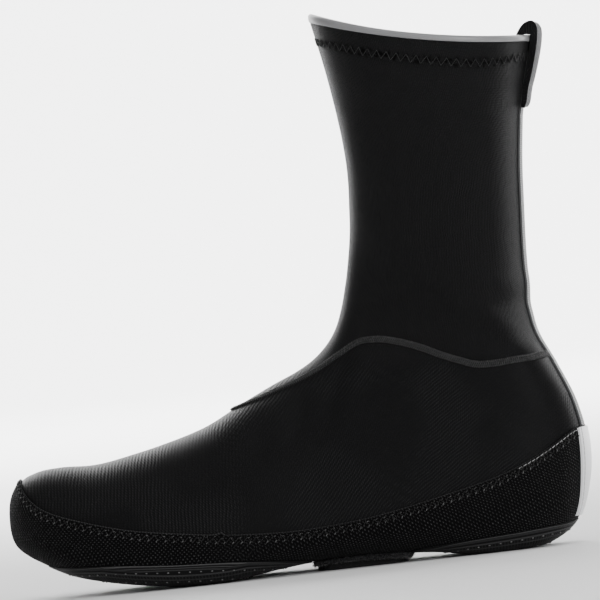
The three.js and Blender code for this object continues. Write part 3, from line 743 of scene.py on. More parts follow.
sock = skin("sock", -SOCK_WALL, 0.0)
cut(sock, sole_post(underside_outline()), "DIFFERENCE")
sock.data.materials.clear()
sock.data.materials.append(NEOPRENE)
sock.data.materials.append(LINING)
shade(sock)
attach(sock, "root")
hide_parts("upper")
print("sock:", len(sock.data.polygons), "faces")


# %% [markdown]
# ## Wrap coordinates
# The rand and the soles go round the foot like a belt, so their cloth needs its own coordinates: how far round the
# plan outline a point is, and how far up or in under the foot it is.

# %% Measure round the foot
def plan_outline(top=58.0, steps=240):
    """The foot's widest outline from above, as x, y and z in mm, from the heel round the outer side and back."""
    stations = np.linspace(0, STATIONS[ROW["shin"]], 900)[:, None]
    angles = np.linspace(-math.pi, math.pi, 721)[None, :]
    points = form_point(stations, angles).reshape(-1, 3)
    points = points[points[:, 2] < top]
    ends = (points[:, 0].min(), points[:, 0].max())
    edges = (ends[0] + ends[1]) / 2 - (ends[1] - ends[0]) / 2 * np.cos(np.linspace(0, math.pi, steps + 1))
    place = np.clip(np.searchsorted(edges, points[:, 0]) - 1, 0, steps - 1)
    sides = []
    for sign in (-1, 1):
        order = np.lexsort((sign * points[:, 1], place))
        last = np.concatenate([np.diff(place[order]) > 0, [True]])
        sides.append(points[order][last])
    tip, back = points[np.argmin(points[:, 0])], points[np.argmax(points[:, 0])]
    loop = np.concatenate([[back], sides[0][::-1], [tip], sides[1], [back]])
    for _ in range(4):
        loop[1:-1] = (loop[:-2] + 2 * loop[1:-1] + loop[2:]) / 4
    return loop


OUTLINE = plan_outline()
OUTLINE_XY = (OUTLINE[:, :2] + SHIFT[:2]) / 1000
OUTLINE_WALK = np.concatenate([[0], np.cumsum(np.linalg.norm(np.diff(OUTLINE_XY, axis=0), axis=1))]) * 1000
print("round the foot:", round(OUTLINE_WALK[-1]), "mm")


def belt_map(co):
    """For points in metres: mm round the foot, and mm up the wall, counting on inwards under the foot."""
    first, along_it = OUTLINE_XY[:-1], np.diff(OUTLINE_XY, axis=0)
    size = (along_it ** 2).sum(axis=1)
    round_it, inward, belt = (np.empty(len(co)) for _ in range(3))
    for start in range(0, len(co), 3000):
        part = slice(start, start + 3000)
        away = co[part, None, :2] - first[None]
        share = np.clip((away * along_it).sum(axis=2) / size, 0, 1)
        gap = np.linalg.norm(away - share[..., None] * along_it, axis=2)
        best = gap.argmin(axis=1)
        pick = np.arange(len(best))
        share = share[pick, best]
        round_it[part] = OUTLINE_WALK[best] + share * (OUTLINE_WALK[best + 1] - OUTLINE_WALK[best])
        belt[part] = OUTLINE[best, 2] + share * (OUTLINE[best + 1, 2] - OUTLINE[best, 2])
        inward[part] = gap[pick, best] * 1000
    side = np.clip((co[:, 2] * 1000 - belt) / 6, -1, 1)
    return round_it, co[:, 2] * 1000 + side * inward


def wrap_map(obj, edge=None):
    """Gives a piece the belt map as its UVs; with an edge line the second one runs down from that line."""
    mesh = obj.data
    co = np.empty(len(mesh.vertices) * 3)
    mesh.vertices.foreach_get("co", co)
    round_it, up = belt_map(co.reshape(-1, 3))
    if edge is not None:
        path = all_round(edge)
        at, height = belt_map(surface(path[:, 0], path[:, 1], SOLE_OFFSET))
        order = np.argsort(at)
        up = np.interp(round_it, at[order], height[order]) - up
    corner = np.empty(len(mesh.loops), int)
    mesh.loops.foreach_get("vertex_index", corner)
    layer = mesh.uv_layers.get("cloth") or mesh.uv_layers.new(name="cloth")
    layer.data.foreach_set("uv", np.stack([round_it, up], axis=1)[corner].astype(np.float32).ravel())


# %% [markdown]
# ## Rand
# A tough woven cloth guards the lower edge. Its thick yarns shine where they cross over, so the crowns get a lighter
# colour and a smoother surface than the gaps between them.

# %% The rand material and piece
RAND, tree, shader = material("rand_weave", Specular_IOR_Level=0.07, Sheen_Weight=0.015, Sheen_Roughness=0.4)
uv = cloth_uv(tree)
place = object_place(tree)
where = node(tree, "ShaderNodeSeparateXYZ", {"Vector": place})
coarse = use_group(tree, "weave", Vector=uv, Warp=2.3, Weft=2.6)
dense = use_group(tree, "weave", Vector=uv, Warp=1.7, Weft=3.4, Turn=0.62)
to_heel = ramp(tree, where.outputs[0], -0.06, 0.0)
crown = blend_values(tree, to_heel, coarse.outputs["Crown"], dense.outputs["Crown"])
height = blend_values(tree, to_heel, coarse.outputs["Height"], dense.outputs["Height"])
threads = noise(tree, uv, 3.5)
bump(tree, shader, plus(tree, height, times(tree, threads, 0.3)), 0.0006)
glint = noise(tree, uv, 0.9)
shine = times(tree, times(tree, crown, ramp(tree, threads, 0.35, 0.65, 0.15, 1.0)),
                  ramp(tree, glint, 0.35, 0.65, 0.45, 1.0))
paint(tree, shader, shine, (0.0026, 0.0026, 0.0028), (0.075, 0.075, 0.076))
polish(tree, shader, shine, 0.0, 1.0, 0.9, 0.5)

FAR = 300  # past every face of the shoe, in mm
lower = np.concatenate([FOREFOOT_EDGE, [[FOREFOOT_EDGE[-1, 0], -FAR], [HEEL_EDGE[0, 0], -FAR]], HEEL_EDGE])
region = np.concatenate([lower, RAND_TOP[::-1], [[FOREFOOT_EDGE[0, 0], RAND_TOP[0, 1]]]])
rand = skin("rand_cloth", 0.15, GAP + RAND_WALL, 200, 160)
cut(rand, side_prism(region), "INTERSECT")
cut(rand, sole_post(underside_outline()), "DIFFERENCE")
wrap_map(rand)
finish_piece(rand, RAND, "rand")

# %% [markdown]
# ## Sole panels
# Under the ball and the heel lie thin panels of grippy rubber. Fine ridges follow their edges, with rows of small
# round dots between them.

# %% The sole material and pieces
SOLE_LINES = [(0.3, 0.4, 0.9), (1.3, 0.3, 0.5), (2.1, 0.3, 0.4), (4.5, 0.35, 0.8), (5.3, 0.35, 0.8), (8.9, 0.35, 0.5),
              (9.7, 0.35, 0.5)]  # mm down from the panel's edge, half width, strength
SOLE, tree, shader = material("sole_rubber", Specular_IOR_Level=0.12)
uv = cloth_uv(tree)
split = node(tree, "ShaderNodeSeparateXYZ", {"Vector": uv})
down = split.outputs[1]
height = use_group(tree, "ribs", Value=down, Pitch=40.0, Share=0.03).outputs[0]
for middle, width, strength in SOLE_LINES:
    line = ramp(tree, absolute(tree, minus(tree, down, middle)), width, width * 0.4,
                0.0, strength)
    height = math_node(tree, "MAXIMUM", height, line)
field = times(tree, use_group(tree, "ribs", Value=down, Pitch=1.4, Share=0.6).outputs[0],
                  use_group(tree, "ribs", Value=split.outputs[0], Pitch=1.7, Share=0.8).outputs[0])
in_field = ramp(tree, down, 5.8, 6.1, 0.0, 0.55)
height = math_node(tree, "MAXIMUM", height, times(tree, field, in_field))
grain = noise(tree, uv, 2.5, 3.0)
bump(tree, shader, plus(tree, height, times(tree, grain, 0.25)), 0.0003)
paint(tree, shader, height, (0.0035, 0.0035, 0.0038), (0.07, 0.07, 0.071))
polish(tree, shader, grain, 0.3, 0.7, 0.5, 0.68)


def window_outline(x, y, length, width, corner):
    left, right, low, high = along(x) - length / 2, along(x) + length / 2, y - width / 2, y + width / 2
    points = []
    for cx, cy, start in ((right - corner, low + corner, -90), (right - corner, high - corner, 0),
                          (left + corner, high - corner, 90), (left + corner, low + corner, 180)):
        for degrees in np.linspace(start, start + 90, 9):
            turn = math.radians(degrees)
            points.append((cx + corner * math.cos(turn), cy + corner * math.sin(turn)))
    return points


def sole_panel(name, replaced, edge, window):
    outline = np.concatenate([edge - [0, GAP], [[edge[-1, 0], 0], [edge[0, 0], 0]]])
    panel = skin(name, 0.2, SOLE_OFFSET, 230, 192, end=STATIONS[ROW["heel back"]])
    cut(panel, side_prism(outline), "INTERSECT")
    cut(panel, sole_post(window), "DIFFERENCE")
    wrap_map(panel, edge)
    finish_piece(panel, SOLE, replaced)


sole_panel("forefoot_panel", "forefoot_sole", FOREFOOT_EDGE, window_outline(0.295, 2, 62, 40, 13))
sole_panel("heel_panel", "heel_sole", HEEL_EDGE, window_outline(0.868, -1, 32, 26, 10))

# %% [markdown]
# ## Stitches
# A row of stitches is one small piece of thread, repeated along a path. Geometry Nodes does that: the path is a
# chain of vertices that knows its surface normal, the tree walks along it at the stitch spacing, and each stitch is
# a bent tube that is laid on the cloth, leaning left and right in turn for a zigzag.

# %% The stitch tree
STITCH, into, out = group("stitch row", [
    ("Geometry", "Geometry", None), ("Spacing", "Float", 2.0), ("Length", "Float", 3.0), ("Rise", "Float", 0.4),
    ("Thread Radius", "Float", 0.2), ("Lean", "Float", 0.0), ("Slant", "Float", 0.0), ("Material", "Material", None)],
    [("Geometry", "Geometry")], "GeometryNodeTree")
MM = 0.001


def in_metres(tree, socket):
    return times(tree, socket, MM)


length = in_metres(STITCH, into.outputs["Length"])
half = times(STITCH, length, 0.5)
rise = in_metres(STITCH, into.outputs["Rise"])
start = node(STITCH, "ShaderNodeCombineXYZ", {0: times(STITCH, half, -1.0)}).outputs[0]
middle = node(STITCH, "ShaderNodeCombineXYZ", {2: times(STITCH, rise, 2.0)}).outputs[0]
finish = node(STITCH, "ShaderNodeCombineXYZ", {0: half}).outputs[0]
bow = node(STITCH, "GeometryNodeCurveQuadraticBezier", {"Resolution": 5, "Start": start, "Middle": middle,
                                                        "End": finish})
ring = node(STITCH, "GeometryNodeCurvePrimitiveCircle", {"Resolution": 6, "Radius": in_metres(
    STITCH, into.outputs["Thread Radius"])}, mode="RADIUS")
thread = node(STITCH, "GeometryNodeCurveToMesh", {"Curve": bow.outputs[0], "Profile Curve": ring.outputs[0],
                                                  "Fill Caps": True})
curve = node(STITCH, "GeometryNodeMeshToCurve", {"Mesh": into.outputs["Geometry"]})
walk = node(STITCH, "GeometryNodeCurveToPoints", {"Curve": curve.outputs[0], "Length": in_metres(
    STITCH, into.outputs["Spacing"])}, mode="LENGTH")
normal = node(STITCH, "GeometryNodeInputNamedAttribute", {"Name": "facing"}, data_type="FLOAT_VECTOR")
ahead = node(STITCH, "FunctionNodeAlignRotationToVector", {"Vector": walk.outputs["Tangent"]}, axis="X")
upright = node(STITCH, "FunctionNodeAlignRotationToVector", {
    "Rotation": ahead.outputs[0], "Vector": normal.outputs[0]}, axis="Z", pivot_axis="X")
index = node(STITCH, "GeometryNodeInputIndex")
parity = minus(STITCH, times(STITCH, math_node(
    STITCH, "MODULO", index.outputs[0], 2.0), 2.0), 1.0)
turn = plus(STITCH, times(STITCH, parity, into.outputs["Lean"]),
                 into.outputs["Slant"])
spin = node(STITCH, "FunctionNodeAxisAngleToRotation", {"Axis": (0, 0, 1), "Angle": turn})
aimed = node(STITCH, "FunctionNodeRotateRotation", {"Rotation": upright.outputs[0], "Rotate By": spin.outputs[0]},
             rotation_space="LOCAL")
row = node(STITCH, "GeometryNodeInstanceOnPoints", {
    "Points": walk.outputs["Points"], "Instance": thread.outputs[0], "Rotation": aimed.outputs[0]})
real = node(STITCH, "GeometryNodeRealizeInstances", {"Geometry": row.outputs[0]})
soft = node(STITCH, "GeometryNodeSetShadeSmooth", {"Geometry": real.outputs[0]})
done = node(STITCH, "GeometryNodeSetMaterial", {"Geometry": soft.outputs[0], "Material": into.outputs["Material"]})
STITCH.links.new(done.outputs[0], out.inputs["Geometry"])


def path_object(name, points, normals):
    edges = [[i, i + 1] for i in range(len(points) - 1)]
    mesh = bpy.data.meshes.new(name)
    mesh.from_pydata(np.asarray(points).tolist(), edges, [])
    facing = mesh.attributes.new("facing", "FLOAT_VECTOR", "POINT")
    facing.data.foreach_set("vector", np.asarray(normals, dtype=np.float32).ravel())
    return keep(bpy.data.objects.new(name, mesh))


def run_tree(obj, tree, **values):
    modifier = obj.modifiers.new("nodes", "NODES")
    modifier.node_group = tree
    for item in tree.interface.items_tree:
        key = item.name.replace(" ", "_")
        if item.in_out == "INPUT" and key in values:
            modifier[item.identifier] = values[key]
    settle(obj)
    if "facing" in obj.data.attributes:
        obj.data.attributes.remove(obj.data.attributes["facing"])
    return obj


def stitch_row(name, path, offset, slot, finish, **sizes):
    _, points, normals = even_path(path, 0.8, offset)
    row = run_tree(path_object(name, points, normals), STITCH, Material=finish, **sizes)
    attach(row, "root")
    print(name + ":", len(row.data.polygons), "faces")
    return row


# %% [markdown]
# Thread is twisted from two or three plies, so it has a slanting twist and a soft gloss.

# %% The thread materials
def thread_material(name, dark, light, roughness):
    made, tree, shader = material(name, Roughness=roughness, Specular_IOR_Level=0.3, Sheen_Weight=0.05)
    place = object_place(tree)
    twist = node(tree, "ShaderNodeTexWave", {"Vector": place, "Scale": 900.0, "Distortion": 2.0},
                 bands_direction="DIAGONAL")
    bump(tree, shader, twist.outputs["Fac"], 0.00008)
    fuzz = noise(tree, place, 700.0)
    paint(tree, shader, ramp(tree, fuzz, 0.35, 0.7), (dark,) * 3, (light,) * 3)
    return made


BLACK_THREAD = thread_material("black_thread", 0.004, 0.016, 0.55)
GREY_THREAD = thread_material("grey_thread", 0.035, 0.13, 0.5)
print("threads ready")

# %% [markdown]
# The rand is sewn on with a zigzag just inside its edge, between two rows of small loops.

# %% Sew the rand
stitch_row("rand_zigzag", all_round(RAND_TOP, 2.6), GAP + RAND_WALL + 0.05, "seam_tape", BLACK_THREAD,
           Spacing=2.2, Length=3.5, Rise=0.25, Thread_Radius=0.15, Lean=0.9)
stitch_row("rand_loops_low", all_round(RAND_TOP, 4.0), GAP + RAND_WALL + 0.1, "seam_tape", GREY_THREAD,
           Spacing=4.4, Length=1.1, Rise=0.25, Thread_Radius=0.26, Slant=0.9)
stitch_row("rand_loops_high", all_round(RAND_TOP, 1.5), GAP + RAND_WALL + 0.1, "seam_tape", GREY_THREAD,
           Spacing=4.4, Length=0.8, Rise=0.2, Thread_Radius=0.16, Slant=0.3)

# %% [markdown]
# A hem or a welt is a small profile swept along a path that lies on the shoe.

# %% Sweep a profile
def sweep(name, points, normals, profile):
    """A profile of (side, up) points in mm, swept along a path that lies on the shoe."""
    points, normals = np.asarray(points), np.asarray(normals)
    ahead = np.roll(points, -1, axis=0) - np.roll(points, 1, axis=0)
    ahead[0], ahead[-1] = points[1] - points[0], points[-1] - points[-2]
    aside = np.cross(normals, ahead)
    aside /= np.linalg.norm(aside, axis=1, keepdims=True)
    rings = [points + (aside * side + normals * up) * MM for side, up in profile]
    grid = np.stack(rings, axis=1)
    count, sides = len(points), len(profile)
    walked = np.concatenate([[0], np.cumsum(np.linalg.norm(np.diff(points, axis=0), axis=1))]) * 1000
    faces, uvs = [], []
    for i in range(count - 1):
        j = i + 1
        for k in range(sides):
            m = (k + 1) % sides
            faces.append([i * sides + k, j * sides + k, j * sides + m, i * sides + m])
            a, b = walked[i], walked[i] + (walked[1] - walked[0])
            u, w = profile[k][0], profile[m][0]
            uvs += [(a, u), (b, u), (b, w), (a, w)]
    faces += [list(range(sides)), list(range((count - 1) * sides, count * sides))[::-1]]
    uvs += [(0, p[0]) for p in profile] + [(walked[-1], p[0]) for p in profile[::-1]]
    return shade(outward(mesh_object(name, grid.reshape(-1, 3), faces, uvs)), 60)


def oval(width, height, lift, count=8):
    return [(width / 2 * math.cos(t), lift + height / 2 * math.sin(t))
            for t in np.linspace(0, 2 * math.pi, count, endpoint=False)]


print("sweeps ready")

# %% [markdown]
# Round the heel the rand's edge carries a row of stitched dashes. Their pale thread is a painted highlight, where the
# light from behind the heel catches them.

# %% Heel dashes
# Pale thread: a painted highlight on the real heel stitches.
HEEL_HIGHLIGHT_THREAD = thread_material("white_thread", 0.18, 0.5, 0.5)
heel_round = all_round(RAND_TOP, 0.9)
at = form_point(heel_round[:, 0], heel_round[:, 1])[:, 0]
for name, side in (("outer", heel_round[:, 1] > 0), ("inner", heel_round[:, 1] < 0)):
    stitch_row("heel_dashes_" + name, heel_round[side & (at > along(0.885))], GAP + RAND_WALL + 0.1, "seam_tape",
               HEEL_HIGHLIGHT_THREAD, Spacing=2.6, Length=1.9, Rise=0.2, Thread_Radius=0.17, Slant=0.1)

# %% [markdown]
# Two rows of small rubber dots follow the edge of each sole panel. Where the panel turns on to the floor they stop.

# %% Dots on the soles
DOT_FLOOR = 0.0011  # metres; below this the panel lies on the floor


def dotted(name, path, low, high):
    """A row of small round dots on a sole panel, between two places along the shoe."""
    x = form_point(path[:, 0], path[:, 1])[:, 0]
    height = surface(path[:, 0], path[:, 1], SOLE_OFFSET)[:, 2]
    used = (x > low) & (x < high) & (height > DOT_FLOOR)
    return stitch_row(name, path[used], SOLE_OFFSET, "sole_rubber", DOT_RUBBER, Spacing=5.6, Length=0.7, Rise=0.12,
                      Thread_Radius=0.34)


DOT_RUBBER = thread_material("dot_rubber", 0.07, 0.16, 0.45)
for count, drop_by in enumerate((3.4, 7.6)):
    round_toe = all_round(FOREFOOT_EDGE, drop_by)
    dotted(f"forefoot_dots_{count}", round_toe, along(-0.1), along(0.5))
    heel_inner, heel_outer = on_form(HEEL_EDGE, drop_by, -1, "shin"), on_form(HEEL_EDGE, drop_by, 1, "shin")
    round_heel = np.concatenate([heel_inner, heel_outer[::-1]])
    dotted(f"heel_dots_{count}", round_heel, along(0.71), along(1.1))

# %% [markdown]
# The rand's own edge is a thin hem with fine cross stitches.

# %% The hem
HEM, tree, shader = material(
    "rand_hem", Roughness=0.6, Sheen_Weight=0.05, Sheen_Roughness=0.4, Specular_IOR_Level=0.2)
uv = cloth_uv(tree)
dash = use_group(tree, "ribs", Value=node(tree, "ShaderNodeSeparateXYZ", {0: uv}).outputs[0], Pitch=1.5,
                 Share=0.7).outputs[0]
bump(tree, shader, dash, 0.0002)
paint(tree, shader, dash, (0.003, 0.003, 0.0033), (0.03, 0.03, 0.031))
_, points, normals = even_path(all_round(RAND_TOP, 0.15), 0.9, 0.0)
hem = sweep("rand_hem", points, normals, oval(0.9, 0.95, 0.75))
hem.data.materials.append(HEM)
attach(hem, "root")
print("hem:", len(hem.data.polygons), "faces")

# %% [markdown]
# ## Ankle seam
# The lower part of the sock meets the shaft in a flatlock seam: a low welt, crossed by dense slanting stitches.

# %% The ankle seam
knots = [(row, -turn) for row, turn in SEAM[:0:-1]] + SEAM
dense = spline(knots, 900)
seam_path = np.stack([station_at(dense[:, 0]), np.radians(dense[:, 1])], axis=1)
_, points, normals = even_path(seam_path, 1.0, 0.0)
welt = sweep("ankle_welt", points, normals, [(-1.7, -0.1), (-1.5, 0.42), (-0.9, 0.72), (-0.25, 0.62), (0, 0.5),
                                             (0.25, 0.62), (0.9, 0.72), (1.5, 0.42), (1.7, -0.1)])
WELT, tree, shader = material("seam_welt", Roughness=0.6, Sheen_Weight=0.05, Specular_IOR_Level=0.25)
uv = cloth_uv(tree)
split = node(tree, "ShaderNodeSeparateXYZ", {"Vector": uv})
lean = plus(tree, split.outputs[0], times(tree, split.outputs[1], 0.6))
cord = use_group(tree, "ribs", Value=lean, Pitch=1.05, Share=0.8).outputs[0]
bump(tree, shader, cord, 0.00025)
paint(tree, shader, cord, (0.0025, 0.0025, 0.0028), (0.022, 0.022, 0.023))
welt.data.materials.append(WELT)
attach(welt, "root")
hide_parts("ankle_seam")
SEAM_THREAD = thread_material("seam_thread", 0.014, 0.06, 0.5)
stitch_row("ankle_stitches", seam_path, 0.62, "seam_tape", SEAM_THREAD, Spacing=1.05, Length=3.9,
           Rise=0.28, Thread_Radius=0.2, Slant=1.15)

# %% [markdown]
# ## Collar stitching
# A wide zigzag, about 10 mm under the edge, holds the rubber band that lines the collar.

# %% Sew the collar
turns = np.linspace(-math.pi + 0.3, math.pi - 0.3, 500)
below = RIM - COLLAR_SEAM - 3.2 * smoothstep(np.abs(turns), 2.0, 2.8) - 0.4 * np.cos(turns)
collar_path = np.stack([RIM - below, turns], axis=1)
stitch_row("collar_zigzag", collar_path, 0.12, "seam_tape", BLACK_THREAD, Spacing=2.6, Length=4.8,
           Rise=0.15, Thread_Radius=0.19, Lean=1.0)

# %% [markdown]
# ## Tape, reflector, band and tab
# The back tape is grey grosgrain, the heel carries a strip of silver reflective cloth, and a rubber band inside the
# collar shows above its edge. A loop of webbing goes over the collar at the back, to pull the cover on.

# %% Webbing, reflector and rubber materials
WEBBING, tree, shader = material("grey_webbing", Sheen_Weight=0.2, Sheen_Roughness=0.4)
uv = cloth_uv(tree)
split = node(tree, "ShaderNodeSeparateXYZ", {"Vector": uv})
weft = use_group(tree, "ribs", Value=split.outputs[1], Pitch=0.85, Share=0.9).outputs[0]
zig = plus(tree, split.outputs[1], times(tree, math_node(
    tree, "PINGPONG", split.outputs[0], 2.6), 0.9))
bone = use_group(tree, "ribs", Value=zig, Pitch=1.3, Share=0.8).outputs[0]
height = plus(tree, times(tree, weft, 0.4), times(tree, bone, 0.6))
bump(tree, shader, height, 0.0002)
paint(tree, shader, height, (0.06, 0.06, 0.062), (0.27, 0.27, 0.275))
polish(tree, shader, height, 0.0, 1.0, 0.8, 0.5)

SILVER, tree, shader = material("reflector_silver", Metallic=0.35, Roughness=0.42, Specular_IOR_Level=0.6)
uv = cloth_uv(tree)
beads = node(tree, "ShaderNodeTexVoronoi", {"Vector": uv, "Scale": 1.4, "Randomness": 0.1})
place = node(tree, "ShaderNodeSeparateXYZ", {0: object_place(tree)})
from_middle = absolute(tree, minus(tree, times(tree, place.outputs[1], 1000.0), SHIFT[1]))
sewn_line = ramp(tree, absolute(tree, minus(tree, from_middle, 15.0)), 0.45, 0.25)
stitch = use_group(tree, "ribs", Value=times(tree, place.outputs[2], 1000.0), Pitch=2.6,
                   Share=1.3).outputs[0]
thread = times(tree, sewn_line, ramp(tree, stitch, 0.2, 0.4))
relief_height = plus(tree, beads.outputs["Distance"], times(tree, thread, 3.0))
bump(tree, shader, relief_height, 0.0001)
film = mix(tree, beads.outputs["Distance"], (0.74, 0.74, 0.75), (0.5, 0.5, 0.52))
paint(tree, shader, thread, film, (0.2, 0.2, 0.205))

RUBBER, tree, shader = material("collar_rubber", Specular_IOR_Level=0.5, Coat_Weight=0.15, Coat_Roughness=0.3)
place = object_place(tree)
grain = noise(tree, place, 900.0)
cloud = noise(tree, place, 60.0)
bump(tree, shader, grain, 0.00006)
paint(tree, shader, cloud, (0.16, 0.16, 0.165), (0.26, 0.26, 0.265))
polish(tree, shader, cloud, 0.3, 0.7, 0.36, 0.5)
print("webbing, silver and rubber ready")


# %% Back tape and heel reflector
back_line = RAND_TOP[RAND_TOP[:, 0] > along(0.8)]
top = level(TAPE_TOP)
outline = np.concatenate([back_line + [0, GAP], [[back_line[-1, 0], top], [back_line[0, 0], top]]])
tape = skin("back_grosgrain", 0.1, GAP + TAPE_WALL, 230, 220)
cut(tape, side_prism(outline, -BACK_TAPE_WIDTH / 2, BACK_TAPE_WIDTH / 2), "INTERSECT")
finish_piece(tape, WEBBING, "back_tape")

low = HEEL_EDGE[-1, 1] + GAP
outline = np.concatenate([[[back_line[0, 0], low], [back_line[-1, 0], low]], (back_line - [0, GAP])[::-1]])
inside = GAP + RAND_WALL + CLEARANCE
strip = skin("heel_silver", inside, inside + TAPE_WALL + 0.2, 230, 220)
cut(strip, side_prism(outline, -REFLECTOR_WIDTH / 2, REFLECTOR_WIDTH / 2), "INTERSECT")
finish_piece(strip, SILVER, "heel_reflector")


# %% Collar band
def band_profile():
    show = BAND_SHOW
    return [(-SOCK_WALL - GAP, -BAND_DEPTH), (-SOCK_WALL - GAP, 0.1), (-1.2, 0.25), (0.15, 0.3), (0.42, 0.7),
            (0.5, 0.35 * show), (0.45, 0.55 * show), (0.3, 0.75 * show), (-0.1, 0.92 * show), (-0.6, show),
            (-1.3, 1.02 * show), (-2.0, 0.98 * show), (-2.7, 0.88 * show), (-3.1, 0.7 * show), (-3.2, 0.0),
            (-3.2, -BAND_DEPTH)]


def collar_ring(columns=240):
    profile = np.array(band_profile())
    angles = np.arange(columns) / columns * 2 * math.pi
    front = np.maximum(0, np.cos(angles)) ** 2
    stretch = np.where(profile[:, 1:2] > GAP, 1 + (BAND_FRONT_SHOW / BAND_SHOW) * front[None, :], 1.0)
    heights = profile[:, 1:2] * stretch
    grid = surface(RIM + heights, angles[None, :], np.broadcast_to(profile[:, :1], heights.shape))
    count = len(profile)
    faces, uvs = [], []
    for i in range(count):
        for j in range(columns):
            a, b, c, d = (i, j), (i, (j + 1) % columns), ((i + 1) % count, (j + 1) % columns), ((i + 1) % count, j)
            faces.append([p * columns + q for p, q in (a, b, c, d)])
            uvs += [(j * 1.2, profile[i, 1]), (j * 1.2 + 1.2, profile[i, 1]),
                    (j * 1.2 + 1.2, profile[(i + 1) % count, 1]), (j * 1.2, profile[(i + 1) % count, 1])]
    return outward(mesh_object("collar_rubber_band", grid.reshape(-1, 3), faces, uvs))


finish_piece(collar_ring(), RUBBER, "collar_band")

# %% Pull tab
TAB_WIDTH, TAB_CROWN = 22, 1.5
TAB_OUTSIDE = [(-14, -6.5), (-5, -6.5), (1.5, -6.4), (5.5, -5.1), (8.6, -3), (10.2, -0.5), (10.3, 1.9), (9, 4),
               (6.5, 5.3), (2, 5.7), (-5, 5.6), (-12, 5.2), (-20, 4.6), (-26, 4.2), (-29, 3.8), (-30.5, 2.9)]
TAB_INSIDE = [(-14, -3.7), (-4, -3.7), (3.6, -3.6), (4.4, -2.4), (4.3, 0.4), (3.4, 1.3), (-10, 1.3), (-20, 1.3),
              (-30.3, 1.4)]


def back_point(height, y, offset):
    """A point on the back of the form: height above the rim, y across, offset outwards, all in mm."""
    station = RIM + height
    row = section_at(station)
    half = (row[..., 4] + row[..., 5]) / 2
    turn = np.arcsin((np.abs(y) / half) ** (row[..., 8] / 2)) * np.sign(y)
    return surface(station, math.pi + turn, offset)


def tab_point(height, y, offset):
    """A point of the tab, whose outer face is crowned across its width."""
    share = np.maximum(0, offset - TAB_INSIDE[-2][1]) / (5.7 - TAB_INSIDE[-2][1])
    return back_point(height, y, offset - TAB_CROWN * share * (2 * y / TAB_WIDTH) ** 2)


def evenly(line, count):
    line = spline(line, 300)
    walked = np.concatenate([[0], np.cumsum(np.linalg.norm(np.diff(line, axis=0), axis=1))])
    at = np.linspace(0, walked[-1], count)
    return np.stack([np.interp(at, walked, line[:, k]) for k in (0, 1)], axis=1), at


def pull_tab(steps=90):
    outer, walked = evenly(TAB_OUTSIDE, steps)
    inner, _ = evenly(TAB_INSIDE, steps)
    loop = np.concatenate([outer, inner[::-1]])
    ahead = np.roll(loop, -1, axis=0) - np.roll(loop, 1, axis=0)
    ahead /= np.linalg.norm(ahead, axis=1, keepdims=True)
    inwards = np.stack([ahead[:, 1], -ahead[:, 0]], axis=1)
    half = TAB_WIDTH / 2
    slices = [(-half, 0.55), (-half + 0.12, 0.3), (-half + 0.35, 0.12), (-half + 0.8, 0.0)]
    slices += [(y, 0.0) for y in np.linspace(-half + 2, half - 2, 15)]
    slices += [(-y, inset) for y, inset in slices[3::-1]]
    count = len(loop)
    along_loop = np.concatenate([walked, walked[::-1]])
    points, faces, uvs = [], [], []
    for y, inset in slices:
        points.append(tab_point(loop[:, 0] + inwards[:, 0] * inset, np.full(count, y),
                                loop[:, 1] + inwards[:, 1] * inset))
    for i in range(len(slices) - 1):
        for k in range(count):
            m = (k + 1) % count
            faces.append([i * count + k, (i + 1) * count + k, (i + 1) * count + m, i * count + m])
            uvs += [(slices[i][0], along_loop[k]), (slices[i + 1][0], along_loop[k]),
                    (slices[i + 1][0], along_loop[m]), (slices[i][0], along_loop[m])]
    for end, y in ((0, -half - 1), ((len(slices) - 1) * count, half + 1)):
        for k in range(steps - 1):
            corners = [k, k + 1, count - 2 - k, count - 1 - k]
            faces.append([end + c for c in corners])
            uvs += [(y, along_loop[c]) for c in corners]
    obj = mesh_object("tab_webbing", np.concatenate(points), faces, uvs)
    return outward(obj)


TAB, tree, shader = material("tab_webbing", Sheen_Weight=0.03, Sheen_Roughness=0.4, Specular_IOR_Level=0.15)
uv = cloth_uv(tree)
split = node(tree, "ShaderNodeSeparateXYZ", {"Vector": uv})
zig = plus(tree, split.outputs[1], times(tree, math_node(
    tree, "PINGPONG", split.outputs[0], 2.75), 1.0))
bone = use_group(tree, "ribs", Value=zig, Pitch=1.5, Share=0.8).outputs[0]
# Painted shade: the tab's two side edges are painted near black, standing in for the shade on those narrow faces.
rim = ramp(tree, absolute(tree, split.outputs[0]), TAB_WIDTH / 2 - 1.2, TAB_WIDTH / 2 - 0.5)
bump(tree, shader, bone, 0.00022)
body = mix(tree, bone, (0.03, 0.03, 0.031), (0.2, 0.2, 0.205))
paint(tree, shader, rim, body, (0.0025, 0.0025, 0.0028))
polish(tree, shader, bone, 0.0, 1.0, 0.75, 0.5)
finish_piece(pull_tab(), TAB, "pull_tab")

# %% [markdown]
# ## Arch strap
# Two layers of hook-and-loop tape close under the arch. The loop side is a pile of short hairs and the hook side a
# smooth woven back with stiff hooks, so each gets its own finish, and short bristles grown by Geometry Nodes.

# %% Strap materials and pieces
PILE, tree, shader = material(
    "loop_pile", Roughness=0.95, Sheen_Weight=0.1, Sheen_Roughness=0.5, Specular_IOR_Level=0.2)
place = object_place(tree)
tufts = noise(tree, place, 1100.0, 3.0)
bump(tree, shader, tufts, 0.0005)
paint(tree, shader, ramp(tree, tufts, 0.35, 0.7), (0.004, 0.004, 0.0045), (0.035, 0.035, 0.036))

